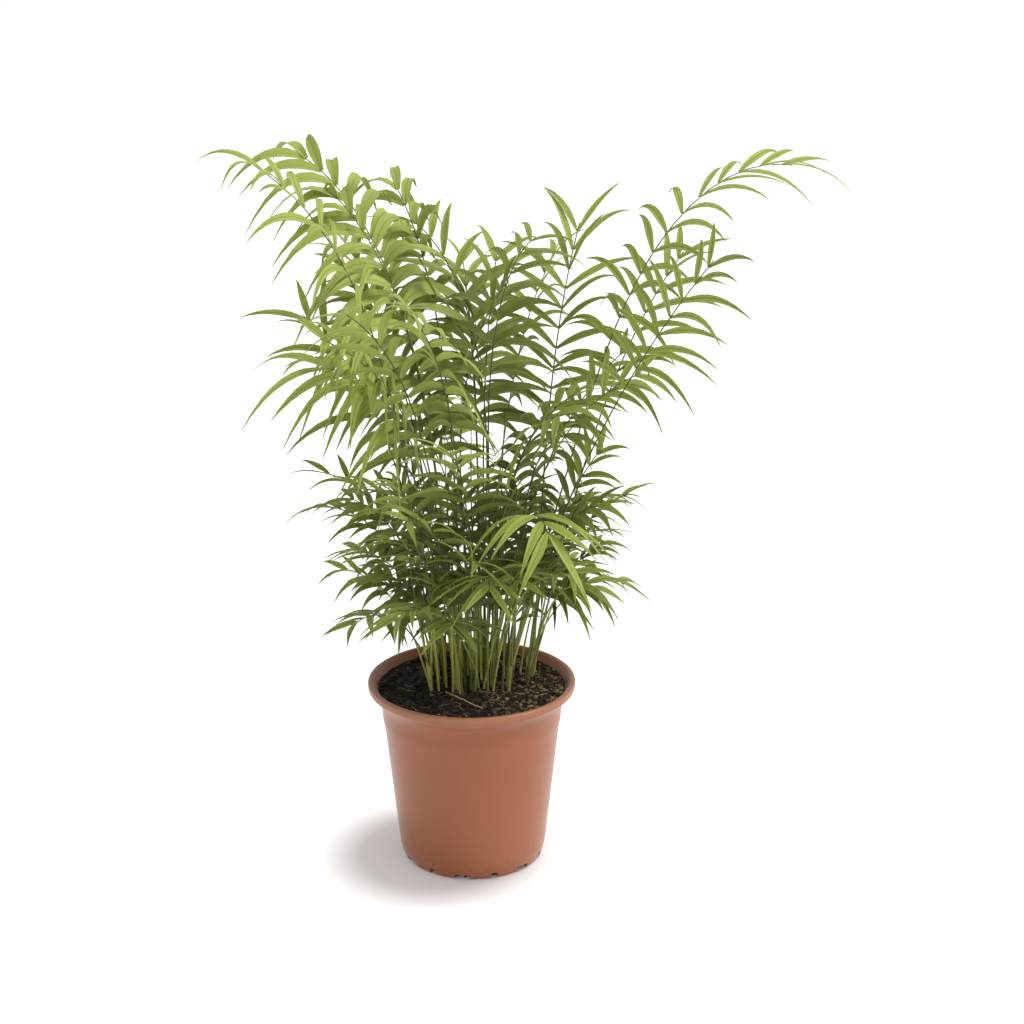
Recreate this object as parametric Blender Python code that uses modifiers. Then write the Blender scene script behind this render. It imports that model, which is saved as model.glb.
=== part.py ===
"""Parlour palm in its nursery pot: pot, soil, young canes and their feather leaves.

Metres, +Z up.  The pot stands on z = 0 with its axis on the Z axis and -Y is the front.
Each frond is one grown leaf: stalk, midrib and leaflets are a single body.
"""

import itertools
import math
import random

import bmesh
import bpy
from mathutils import Vector
from mathutils.bvhtree import BVHTree

MM = 0.001

# Pot
POT_HEIGHT = 153 * MM
RIM_RADIUS = 85 * MM
RIM_DEPTH = 7 * MM
COLLAR_RADIUS = 73.5 * MM
COLLAR_DEPTH = 35 * MM
COLLAR_BOTTOM = POT_HEIGHT - COLLAR_DEPTH
COLLAR_STEP = 1.5 * MM
BODY_TOP_RADIUS = COLLAR_RADIUS - COLLAR_STEP
BASE_RADIUS = 60.5 * MM
WALL = 2.2 * MM
FLOOR_UNDERSIDE = 6 * MM
FLOOR_THICKNESS = 2.5 * MM
FOOT_WIDTH = 4 * MM
CENTRE_PAD_RADIUS = 26 * MM
POT_STEPS = 40
NOTCH_COUNT = 14
FIRST_NOTCH = -97
NOTCH_SIZES = ((13 * MM, 4.4 * MM), (5.5 * MM, 5.4 * MM))
DRAIN_COUNT = 6
DRAIN_RADIUS = 4.5 * MM
DRAIN_RING_RADIUS = 40 * MM

# Soil
SOIL_DROP = 8 * MM
SOIL_TOP = POT_HEIGHT - SOIL_DROP
SOIL_CLEARANCE = 0.4 * MM
SOIL_STEPS = 28
SOIL_LUMPS = 1.6 * MM
PLANTING_DEPTH = 14 * MM

# Canes
CANE_RADIUS = 2.2 * MM
CANE_TOP_RADIUS = 3.9 * MM
CANE_CLEARANCE = 0.4 * MM
CANE_SPLAY = 0.10
CLUMP_CENTRE = Vector((8 * MM, 12 * MM))
SPEAR_RADIUS = 0.7 * MM
SHOULDER = 0.6 * MM
SEAT_RADIUS = 2.8 * MM
SEAT_RISE = 1.3 * MM
SEAT_ANGLES = (30, 120, 210, 300)

# Fronds
FROND_SCALE = 1.0
STALK_THICKNESS = 2.0 * MM
LEAFLET_THICKNESS_SHARE = 0.45
RACHIS_TIP_SHARE = 0.5
SPINE_STEPS = 24
LEAFLET_ROOT = 4.5 * MM
STALK_STEPS = (0.25, 0.5, 0.75, 1.0)
STALK_GAP = 0.5 * MM
LEAF_GAP = 0.9 * MM
YOUNG_PAIRS = 5
YOUNG_TIP_LOSS = 0.05
TIP_LOSS = 0.3
LONG_LEAFLET = 82 * MM
LONG_LEAFLET_SECTIONS = (0.4, 0.72)
SHORT_LEAFLET_SECTIONS = (0.45,)

# Each cane: across, back, height of the sheathed part, length of the unopened leaf (mm)
CANES = (
    (-33, -9, 22, 95),
    (-22, 8, 34, 150),
    (-29, 25, 26, 115),
    (-12, -4, 28, 85),
    (-9, 17, 40, 185),
    (2, -12, 20, 105),
    (4, 27, 40, 205),
    (9, 48, 28, 130),
    (16, -2, 30, 130),
    (19, 16, 38, 195),
    (30, -10, 22, 100),
    (32, 8, 28, 140),
    (51, 30, 24, 115),
    (45, 7, 20, 85),
)

# Each frond: cane, azimuth, lean, bend, bend power, length mm, stalk share, roll, pairs,
# leaflet length mm, leaflet width mm, droop
FRONDS = (
    # tall fronds that make the outline, right then left
    (11, 15, 16, 85, 4.6, 480, 0.53, 18, 12, 70, 6.4, 0.50),
    (10, -12, 15, 23, 1.4, 366, 0.66, 50, 8, 68, 5.6, 0.35),
    (12, 60, 5, 25, 2.6, 352, 0.49, 0, 11, 82, 6.0, 0.25),
    (4, 152, 8, 57, 3.5, 422, 0.47, -32, 13, 94, 11.5, 1.05),
    (1, 195, 9, 49, 3.8, 419, 0.48, -20, 11, 100, 7.0, 0.75),
    (2, 165, 2, 30, 1.9, 322, 0.49, -35, 10, 70, 6.0, 0.45),
    (0, 190, -2, 83, 3.0, 283, 0.69, -20, 6, 98, 8.6, 0.70),
    # low fronds at the two sides
    (12, 20, 5, 35, 1.5, 176, 0.57, 40, 7, 48, 5.6, 0.30),
    (13, -30, 8, 72, 3.3, 165, 0.58, 30, 7, 46, 6.0, 0.35),
    (13, -5, 16, 119, 3.5, 96, 0.58, 30, 6, 38, 5.6, 0.50),
    (2, 180, 6, 22, 2.6, 150, 0.57, -30, 7, 38, 5.6, 0.35),
    (0, 190, 5, 75, 2.8, 92, 0.59, -40, 6, 38, 5.6, 0.45),
    (1, 200, 9, 150, 2.6, 74, 0.55, -30, 5, 34, 6.0, 0.45),
    # upright fronds of the crown
    (6, 130, -6, 79, 2.7, 368, 0.55, -30, 8, 70, 7.5, 0.35),
    (7, 80, -4, 52, 2.5, 329, 0.53, 10, 8, 70, 7.5, 0.35),
    (9, 60, -3, 83, 4.2, 350, 0.60, 20, 7, 66, 6.2, 0.50),
    # broad young fronds leaning to the front
    (3, 236, 7, 55, 2.6, 330, 0.50, 30, 9, 66, 8.6, 0.60),
    (5, 256, 4, 62, 2.8, 350, 0.58, -28, 9, 62, 8.6, 0.65),
    (8, 296, 8, 70, 2.5, 266, 0.58, 30, 7, 54, 7.4, 0.60),
    (10, 285, 6, 120, 2.6, 212, 0.69, 0, 5, 62, 7.6, 0.60),
    (5, 250, 12, 60, 2.4, 242, 0.56, 0, 7, 62, 6.8, 0.35),
    # tall fronds behind
    (7, 100, 6, 45, 2.5, 330, 0.52, 25, 8, 66, 6.4, 0.45),
    (2, 128, 10, 50, 2.6, 365, 0.49, 10, 10, 80, 7.5, 0.60),
    (7, 62, 9, 50, 2.6, 345, 0.53, -25, 8, 66, 6.0, 0.40),
    (6, 100, -2, 60, 3.0, 300, 0.55, 30, 8, 62, 6.6, 0.50),
    (2, 165, 8, 45, 2.4, 299, 0.50, -20, 8, 76, 6.8, 0.35),
    (12, 40, 16, 30, 2.2, 354, 0.59, 20, 8, 74, 6.4, 0.35),
    # middle fronds that fill the clump
    (9, 20, 13, 40, 2.2, 262, 0.62, 30, 6, 50, 5.6, 0.50),
    (4, 222, 8, 60, 2.5, 296, 0.57, -30, 8, 62, 7.0, 0.60),
    (9, 345, 11, 55, 2.4, 262, 0.60, 35, 7, 54, 6.2, 0.45),
    (6, 318, 5, 48, 2.5, 300, 0.58, 40, 8, 54, 7.0, 0.60),
    (7, 110, 25, 60, 2.2, 264, 0.56, 0, 7, 62, 6.8, 0.40),
    # low skirt round the rest of the clump
    (2, 150, 30, 80, 2.2, 120, 0.58, 0, 7, 38, 6.0, 0.40),
    (13, 25, 30, 90, 2.2, 112, 0.60, 0, 6, 38, 5.6, 0.40),
    (9, 50, 30, 80, 2.2, 165, 0.57, 0, 7, 44, 6.0, 0.40),
    (5, 230, 26, 90, 2.2, 125, 0.58, 0, 6, 38, 6.0, 0.40),
    (0, 225, 28, 85, 2.2, 105, 0.60, 0, 6, 36, 6.0, 0.40),
    (1, 165, 20, 60, 2.2, 150, 0.57, -20, 7, 42, 6.0, 0.40),
    # fronds that thicken the left crown and the right of the middle
    (1, 150, 7, 50, 3.0, 394, 0.48, -38, 12, 86, 10.5, 1.05),
    (2, 140, 4, 45, 3.0, 379, 0.50, -34, 12, 82, 10.0, 1.05),
    (8, 320, 4, 60, 2.4, 249, 0.48, 0, 9, 60, 7.0, 0.45),
    (9, 290, 3, 65, 2.2, 236, 0.52, 30, 9, 44, 6.4, 0.60),
)


def heading(degrees):
    """Unit vector on the floor plane, turned from +X towards +Y."""
    angle = math.radians(degrees)
    return Vector((math.cos(angle), math.sin(angle), 0.0))


# ---------------------------------------------------------------- growth of the plant

def cane_line(row):
    """Foot, top and spear tip of a cane, leaning away from the middle of the clump."""
    across, back, height, spear = row
    foot = Vector((across * MM, back * MM, SOIL_TOP))
    outward = (foot.xy - CLUMP_CENTRE) / (45 * MM)
    lean = Vector((outward.x, outward.y, 0.0)) * CANE_SPLAY
    direction = (Vector((0.0, 0.0, 1.0)) + lean).normalized()
    top = foot + direction * height * MM
    tip = top + (direction + lean * 0.6).normalized() * spear * MM
    return foot, direction, top, tip


class Spine:
    """Midline of a frond, from its seat on the cane to the last leaflet."""

    def __init__(self, seat, azimuth, lean, bend, power, length, roll):
        self.length = length
        self.roll = math.radians(roll)
        self.points = [seat.copy()]
        self.tangents = []
        self.side = heading(azimuth + 90)
        for step in range(SPINE_STEPS):
            share = (step + 0.5) / SPINE_STEPS
            tilt = math.radians(lean + bend * share ** power)
            way = heading(azimuth) * math.sin(tilt) + Vector((0, 0, math.cos(tilt)))
            self.tangents.append(way)
            self.points.append(self.points[-1] + way * length / SPINE_STEPS)

    def at(self, share):
        """Point, tangent, side and face of the blade at a share of the length."""
        place = min(max(share, 0.0), 1.0) * SPINE_STEPS
        index = min(int(place), SPINE_STEPS - 1)
        point = self.points[index].lerp(self.points[index + 1], place - index)
        near = self.tangents[max(index - 1, 0)] if place - index < 0.5 else self.tangents[index]
        after = self.tangents[min(index + 1, SPINE_STEPS - 1)]
        mixing = (place - index + 0.5) % 1.0
        if place - index < 0.5:
            tangent = near.lerp(self.tangents[index], mixing).normalized()
        else:
            tangent = near.lerp(after, mixing).normalized()
        face = tangent.cross(self.side)
        side = self.side * math.cos(self.roll) + face * math.sin(self.roll)
        return point, tangent, side, tangent.cross(side)


class Leaflet:
    """One leaflet: a narrow blade that arches away from the midrib."""

    def __init__(self, root, tangent, side, face, sweep, lift, length, width, droop):
        self.root = root
        self.midrib = tangent
        out = tangent * math.cos(sweep) + side * math.sin(sweep)
        self.way = (out * math.cos(lift) + face * math.sin(lift)).normalized()
        self.across = (tangent - self.way * tangent.dot(self.way)).normalized()
        self.length = length
        self.width = width
        self.droop = droop

    def section(self, share):
        """Centre, across, face and half width at a share of the length."""
        sag = Vector((0, 0, -1)) * self.droop * self.length
        centre = self.root + self.way * self.length * share + sag * share * share
        along = (self.way * self.length + sag * 2 * share).normalized()
        across = (self.across - along * self.across.dot(along)).normalized()
        if share < 0.4:
            half = self.width * (0.22 + 0.28 * math.sin(share / 0.4 * math.pi / 2))
        else:
            half = self.width * 0.5 * (1 - ((share - 0.4) / 0.6) ** 1.7)
        return centre, across, along.cross(across), half


def tube_hull(sections, margin):
    """Closed four-sided sleeve round (centre, across, face, half width, half thickness)."""
    points = []
    for centre, across, face, wide, thick in sections:
        out = across * (wide + margin)
        up = face * (thick + margin)
        points += [centre - out - up, centre + out - up, centre + out + up, centre - out + up]
    faces = [(3, 2, 1, 0)]
    for ring in range(len(sections) - 1):
        low = ring * 4
        for corner in range(4):
            turn = (corner + 1) % 4
            faces.append((low + corner, low + turn, low + 4 + turn, low + 4 + corner))
    last = len(points) - 4
    faces.append((last, last + 1, last + 2, last + 3))
    return points, faces


class Thicket:
    """Everything grown so far, asked whether a new blade would cross it."""

    def __init__(self):
        self.trees = []

    def is_clear(self, sections, gap):
        """Whether a blade or stalk keeps the gap to everything already grown."""
        points, faces = tube_hull(sections, gap)
        tree = BVHTree.FromPolygons(points, faces)
        return not any(tree.overlap(other) for other in self.trees)

    def grow(self, hulls):
        points = []
        faces = []
        for hull_points, hull_faces in hulls:
            shift = len(points)
            points += hull_points
            faces += [tuple(index + shift for index in face) for face in hull_faces]
        self.trees.append(BVHTree.FromPolygons(points, faces))


def stalk_sections(spine, shares):
    """Cross-sections of stalk and midrib at the given shares of the length."""
    sections = []
    for share in shares:
        point, _tangent, side, face = spine.at(share)
        half = stalk_half_width(share)
        sections.append((point, side, face, half, half))
    return sections


def stalk_half_width(share):
    return STALK_THICKNESS / 2 * (1 - (1 - RACHIS_TIP_SHARE) * share)


def leaflet_shares(leaflet):
    """Shares of a leaflet's length where its blade changes width or direction."""
    return LONG_LEAFLET_SECTIONS if leaflet.length > LONG_LEAFLET else SHORT_LEAFLET_SECTIONS


def leaflet_sections(leaflet):
    """Cross-sections of a leaflet for the clearance test."""
    thick = STALK_THICKNESS * LEAFLET_THICKNESS_SHARE / 2
    face = leaflet.way.cross(leaflet.midrib).normalized()
    sections = [(leaflet.root, leaflet.midrib, face, LEAFLET_ROOT / 2, thick)]
    for share in (*leaflet_shares(leaflet), 1.0):
        centre, across, face, half = leaflet.section(share)
        sections.append((centre, across, face, half, thick))
    return sections


TURNS = range(-60, 61, 4)
TIPS = range(-12, 13, 2)
SHORTENINGS = (1.0, 0.85, 0.7)
SPINE_CHANGES = sorted(
    ((turn, tip, scale) for turn in TURNS for tip in TIPS for scale in SHORTENINGS),
    key=lambda change: abs(change[0]) / 4 + abs(change[1]) / 2 + 18 * (1 - change[2]),
)
LEAFLET_CHANGES = (
    (0, 0, 1.0), (12, 0, 1.0), (-12, 0, 1.0), (0, 8, 0.95), (0, -8, 0.95), (20, 5, 0.85),
    (-20, -5, 0.85), (8, -12, 0.75), (-8, 12, 0.75), (30, 0, 0.7), (-30, 0, 0.7),
    (0, 0, 0.5), (20, 10, 0.45), (-20, -10, 0.45),
)


def find_path(row, seats, thicket):
    """The first spine from the seats that keeps clear, tried from the least change up."""
    _cane, azimuth, lean, bend, power, length, stalk_share, roll, pairs = row[:9]
    for (turn, tip, scale), seat in itertools.product(SPINE_CHANGES, seats):
        reach = length * MM * FROND_SCALE * scale
        spine = Spine(seat, azimuth + turn, lean + tip, bend, power, reach, roll)
        shares = rib_shares(reach, stalk_share, pairs)
        if thicket.is_clear(stalk_sections(spine, shares), STALK_GAP):
            return spine
    return None


def pair_share(stalk_share, pairs, pair):
    """Share of the frond's length at the middle of a pair's root."""
    return stalk_share + (1 - stalk_share) * (pair + 0.6) / pairs


def root_shares(length, stalk_share, pairs, pair):
    """Where a pair of leaflets starts and ends on the midrib."""
    middle = pair_share(stalk_share, pairs, pair)
    half = LEAFLET_ROOT / length / 2
    return middle - half, middle + half


def rib_shares(length, stalk_share, pairs):
    """Shares of the length where the stalk or midrib has a cross-section."""
    shares = [0.0] + [step * stalk_share for step in STALK_STEPS]
    for pair in range(pairs):
        shares += root_shares(length, stalk_share, pairs, pair)
    return shares + [1.0]


class Frond:
    """One feather leaf grown into the free space of the thicket."""

    def __init__(self, number, row, spine, thicket):
        (self.stalk_share, _roll, self.pairs, self.leaflet_length, self.leaflet_width,
         self.droop) = row[6:]
        self.chance = random.Random(number)
        self.spine = spine
        self.length = spine.length
        sections = stalk_sections(spine, rib_shares(self.length, self.stalk_share, self.pairs))
        self.hulls = [tube_hull(sections, 0)]
        self.leaflets = []
        for pair in range(self.pairs):
            self.leaflets.append([self.grow_leaflet(pair, hand, thicket) for hand in (1, -1)])
        thicket.grow(self.hulls)

    def grow_leaflet(self, pair, hand, thicket):
        """The leaflet of a pair that stays clear of everything, or None."""
        along = (pair + 0.5) / self.pairs
        share = pair_share(self.stalk_share, self.pairs, pair)
        point, tangent, side, face = self.spine.at(share)
        sweep = 72 - 46 * along + self.chance.uniform(-10, 10)
        lift = 10 + self.chance.uniform(-14, 14)
        tip_loss = YOUNG_TIP_LOSS if self.pairs <= YOUNG_PAIRS else TIP_LOSS
        size = 0.72 + 0.28 * math.sin(math.pi * min(0.6, 0.1 + along)) - tip_loss * along ** 3
        length = self.leaflet_length * MM * FROND_SCALE * size * self.chance.uniform(0.86, 1.1)
        width = self.leaflet_width * MM * FROND_SCALE * (0.7 + 0.3 * size)
        droop = self.droop * (1.1 - 0.5 * along) * self.chance.uniform(0.7, 1.35)
        root = point + side * hand * stalk_half_width(share)
        for rise, turn, scale in LEAFLET_CHANGES:
            leaflet = Leaflet(root, tangent, side * hand, face, math.radians(sweep + turn),
                              math.radians(lift + rise), length * scale, width * scale ** 0.5,
                              droop)
            sections = leaflet_sections(leaflet)
            if thicket.is_clear(sections, LEAF_GAP):
                self.hulls.append(tube_hull(sections, 0))
                return leaflet
        return None


def seats_on(cane_row, azimuth):
    """The seats on a cane's top, nearest to a heading first."""
    _foot, direction, top, _tip = cane_line(cane_row)
    angles = sorted(SEAT_ANGLES, key=lambda turn: abs((turn - azimuth + 180) % 360 - 180))
    return [top + heading(angle) * SEAT_RADIUS + direction * SEAT_RISE for angle in angles]


def pot_and_soil_hull():
    """Closed ring and disc that stand for the pot's rim and the soil."""
    points = []
    faces = []
    outline = ((0.0, SOIL_TOP + SOIL_LUMPS), (RIM_RADIUS - 10 * MM, SOIL_TOP + SOIL_LUMPS),
               (RIM_RADIUS - 6 * MM, POT_HEIGHT), (RIM_RADIUS, POT_HEIGHT),
               (RIM_RADIUS, POT_HEIGHT - RIM_DEPTH), (COLLAR_RADIUS, COLLAR_BOTTOM),
               (BASE_RADIUS, 0.0))
    count = 24
    for radius, height in outline:
        for step in range(count):
            way = heading(360 * step / count)
            points.append(Vector((way.x * radius, way.y * radius, height)))
    for row in range(len(outline) - 1):
        for step in range(count):
            after = (step + 1) % count
            low = row * count
            faces.append((low + step, low + count + step, low + count + after, low + after))
    return points, faces


def grow_frond(number, row, taken, thicket):
    """The frond on its own cane, or on the nearest cane that has a free seat for it."""
    own, azimuth, lean = row[:3]
    way_out = azimuth if lean >= 0 else azimuth + 180
    home = Vector(CANES[own][:2])
    for cane in sorted(CANES, key=lambda other: (Vector(other[:2]) - home).length):
        free = [seat for seat in seats_on(cane, way_out) if seat not in taken]
        spine = find_path(row, free, thicket)
        if spine is not None:
            taken.append(spine.points[0])
            return Frond(number, row, spine, thicket)
    raise RuntimeError(f"frond {number} finds no free seat")


def grow_plant():
    """Canes first, then the fronds in the order of the table."""
    thicket = Thicket()
    thicket.grow([pot_and_soil_hull()])
    canes = []
    for row in CANES:
        foot, _direction, top, tip = cane_line(row)
        across = Vector((1, 0, 0))
        face = Vector((0, 1, 0))
        lower = [(foot, across, face, CANE_RADIUS, CANE_RADIUS),
                 (top, across, face, CANE_TOP_RADIUS, CANE_TOP_RADIUS)]
        upper = [(top, across, face, SPEAR_RADIUS, SPEAR_RADIUS),
                 (tip, across, face, SPEAR_RADIUS, SPEAR_RADIUS)]
        thicket.grow([tube_hull(lower, 0), tube_hull(upper, 0)])
        canes.append((foot, top, tip))
    taken = []
    fronds = [grow_frond(number, row, taken, thicket)
              for number, row in enumerate(FRONDS, start=1)]
    return canes, fronds


# ---------------------------------------------------------------- solids

def clear_scene():
    for thing in list(bpy.data.objects):
        bpy.data.objects.remove(thing, do_unlink=True)


def material(name, colour, roughness):
    made = bpy.data.materials.new(name)
    made.use_nodes = True
    shader = made.node_tree.nodes["Principled BSDF"]
    shader.inputs["Base Color"].default_value = (*colour, 1.0)
    shader.inputs["Roughness"].default_value = roughness
    shader.inputs["Metallic"].default_value = 0.0
    return made


def place(name, data, colour, roughness):
    """Object in a collection of its own name, with its own material."""
    thing = bpy.data.objects.new(name, data)
    group = bpy.data.collections.new(name)
    bpy.context.scene.collection.children.link(group)
    group.objects.link(thing)
    data.materials.append(material(f"{name}_material", colour, roughness))
    return thing


def cutters_collection():
    group = bpy.data.collections.get("cutters")
    if group is None:
        group = bpy.data.collections.new("cutters")
        group.hide_render = True
        bpy.context.scene.collection.children.link(group)
    return group


def place_cutter(name, mesh):
    cutter = bpy.data.objects.new(name, mesh)
    cutter.display_type = "WIRE"
    cutter.hide_render = True
    cutters_collection().objects.link(cutter)
    return cutter


def cut(thing, cutter):
    boolean = thing.modifiers.new(cutter.name, "BOOLEAN")
    boolean.operation = "DIFFERENCE"
    boolean.solver = "EXACT"
    boolean.object = cutter


def turned(name, profile, steps, colour, roughness):
    """Solid of revolution from a profile that starts and ends on the axis."""
    mesh = bpy.data.meshes.new(name)
    points = [(radius, 0.0, height) for radius, height in profile]
    edges = [(index, index + 1) for index in range(len(points) - 1)]
    mesh.from_pydata(points, edges, [])
    thing = place(name, mesh, colour, roughness)
    screw = thing.modifiers.new("turn", "SCREW")
    screw.axis = "Z"
    screw.angle = 2 * math.pi
    screw.steps = steps
    screw.render_steps = steps
    screw.use_merge_vertices = True
    screw.merge_threshold = 0.00005
    screw.use_smooth_shade = True
    return thing


def pot_inner_radius(height):
    """Inside radius of the pot's wall at a height above the table."""
    low = BASE_RADIUS - WALL
    high = BODY_TOP_RADIUS - WALL
    floor = FLOOR_UNDERSIDE + FLOOR_THICKNESS
    if height < COLLAR_BOTTOM:
        return low + (high - low) * (height - floor) / (COLLAR_BOTTOM - floor)
    return COLLAR_RADIUS - WALL


def build_pot():
    floor_top = FLOOR_UNDERSIDE + FLOOR_THICKNESS
    foot_outer = BASE_RADIUS - 3 * MM
    profile = (
        (0.0, floor_top),
        (pot_inner_radius(floor_top), floor_top),
        (pot_inner_radius(COLLAR_BOTTOM - 1 * MM), COLLAR_BOTTOM - 1 * MM),
        (COLLAR_RADIUS - WALL, COLLAR_BOTTOM + 3 * MM),
        (COLLAR_RADIUS - WALL, POT_HEIGHT - 22 * MM),
        (RIM_RADIUS - 12 * MM, POT_HEIGHT - 14 * MM),
        (RIM_RADIUS - 9 * MM, POT_HEIGHT - 8 * MM),
        (RIM_RADIUS - 6 * MM, POT_HEIGHT - 3 * MM),
        (RIM_RADIUS - 4 * MM, POT_HEIGHT - 0.4 * MM),
        (RIM_RADIUS - 2 * MM, POT_HEIGHT),
        (RIM_RADIUS - 0.3 * MM, POT_HEIGHT - 1.2 * MM),
        (RIM_RADIUS, POT_HEIGHT - 3 * MM),
        (RIM_RADIUS - 0.5 * MM, POT_HEIGHT - RIM_DEPTH),
        (RIM_RADIUS - 2.5 * MM, POT_HEIGHT - RIM_DEPTH - 1 * MM),
        (RIM_RADIUS - 6.5 * MM, POT_HEIGHT - 11 * MM),
        (RIM_RADIUS - 9.7 * MM, POT_HEIGHT - 16 * MM),
        (COLLAR_RADIUS, POT_HEIGHT - 24 * MM),
        (COLLAR_RADIUS, COLLAR_BOTTOM + 3 * MM),
        (BODY_TOP_RADIUS, COLLAR_BOTTOM - 3 * MM),
        (BASE_RADIUS + 0.7 * MM, 12 * MM),
        (BASE_RADIUS - 0.7 * MM, 5 * MM),
        (BASE_RADIUS - 2.2 * MM, 1 * MM),
        (foot_outer, 0.0),
        (foot_outer - FOOT_WIDTH, 0.0),
        (foot_outer - FOOT_WIDTH - 1 * MM, FLOOR_UNDERSIDE),
        (CENTRE_PAD_RADIUS + 1 * MM, FLOOR_UNDERSIDE),
        (CENTRE_PAD_RADIUS, 0.0),
        (0.0, 0.0),
    )
    pot = turned("pot", profile, POT_STEPS, (0.33, 0.125, 0.066), 0.45)
    cut(pot, notch_cutter())
    cut(pot, drain_cutter())
    return pot


def notch_cutter():
    """Blocks that open the foot ring into separate feet."""
    cutter_mesh = bmesh.new()
    for number in range(NOTCH_COUNT):
        way = heading(FIRST_NOTCH + 360 * number / NOTCH_COUNT)
        side = Vector((-way.y, way.x, 0.0))
        width, height = NOTCH_SIZES[number % 2]
        for vertex in bmesh.ops.create_cube(cutter_mesh, size=1.0)["verts"]:
            local = vertex.co.copy()
            vertex.co = (way * (BASE_RADIUS - 5 * MM + local.x * 16 * MM)
                         + side * local.y * width + Vector((0, 0, local.z * 2 * height)))
    bmesh.ops.recalc_face_normals(cutter_mesh, faces=cutter_mesh.faces)
    mesh = bpy.data.meshes.new("notches")
    cutter_mesh.to_mesh(mesh)
    cutter_mesh.free()
    return place_cutter("notches", mesh)


def drain_cutter():
    """Round drills through the floor between the feet and the centre pad."""
    cutter_mesh = bmesh.new()
    for number in range(DRAIN_COUNT):
        way = heading(360 * (number + 0.5) / DRAIN_COUNT) * DRAIN_RING_RADIUS
        made = bmesh.ops.create_cone(cutter_mesh, cap_ends=True, segments=12,
                                     radius1=DRAIN_RADIUS, radius2=DRAIN_RADIUS,
                                     depth=12 * MM)["verts"]
        for vertex in made:
            vertex.co += Vector((way.x, way.y, FLOOR_UNDERSIDE + FLOOR_THICKNESS / 2))
    mesh = bpy.data.meshes.new("drains")
    cutter_mesh.to_mesh(mesh)
    cutter_mesh.free()
    return place_cutter("drains", mesh)


def build_soil():
    gap = SOIL_CLEARANCE
    bottom = FLOOR_UNDERSIDE + FLOOR_THICKNESS + gap
    crown = SOIL_TOP
    neck = POT_HEIGHT - 22 * MM
    profile = (
        (0.0, crown), (14 * MM, crown), (28 * MM, crown), (42 * MM, crown), (56 * MM, crown),
        (RIM_RADIUS - 13 * MM, crown), (RIM_RADIUS - 11.2 * MM, crown - 2 * MM),
        (RIM_RADIUS - 12.6 * MM, POT_HEIGHT - 14 * MM),
        (COLLAR_RADIUS - WALL - gap, neck),
        (COLLAR_RADIUS - WALL - gap, COLLAR_BOTTOM + 3.2 * MM),
        (BODY_TOP_RADIUS - WALL - gap - 0.4 * MM, COLLAR_BOTTOM - 1 * MM),
        (BASE_RADIUS - WALL - gap - 0.1 * MM, bottom), (0.0, bottom),
    )
    soil = turned("soil", profile, SOIL_STEPS, (0.03, 0.018, 0.009), 0.95)
    cut(soil, planting_cutter())
    return soil


def planting_cutter():
    """One hole in the soil for every cane."""
    cutter_mesh = bmesh.new()
    for row in CANES:
        foot, direction, _top, _tip = cane_line(row)
        radius = CANE_RADIUS + CANE_CLEARANCE
        depth = 2 * PLANTING_DEPTH
        made = bmesh.ops.create_cone(cutter_mesh, cap_ends=True, segments=8, radius1=radius,
                                     radius2=radius, depth=depth)["verts"]
        turn = Vector((0, 0, 1)).rotation_difference(direction)
        for vertex in made:
            vertex.co = turn @ vertex.co + foot
    mesh = bpy.data.meshes.new("plantings")
    cutter_mesh.to_mesh(mesh)
    cutter_mesh.free()
    return place_cutter("plantings", mesh)


def build_cane(number, foot, top, tip):
    """Sheathed stem with its unopened leaf, swept along its own line."""
    name = f"cane_{number:02d}"
    way = (top - foot).normalized()
    buried = foot - way * (PLANTING_DEPTH - CANE_CLEARANCE)
    line = ((buried, 0.9 * CANE_RADIUS), (foot.lerp(top, 0.4), CANE_RADIUS),
            (top, CANE_TOP_RADIUS), (top + way * SHOULDER, SPEAR_RADIUS),
            (top.lerp(tip, 0.6), 0.8 * SPEAR_RADIUS), (tip, 0.35 * SPEAR_RADIUS))
    curve = bpy.data.curves.new(name, "CURVE")
    curve.dimensions = "3D"
    curve.bevel_depth = 1 * MM
    curve.bevel_resolution = 1
    curve.use_fill_caps = True
    spline = curve.splines.new("POLY")
    spline.points.add(len(line) - 1)
    for point, (place_at, radius) in zip(spline.points, line):
        point.co = (*place_at, 1.0)
        point.radius = radius / MM
    return place(name, curve, (0.16, 0.20, 0.05), 0.5)


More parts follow.
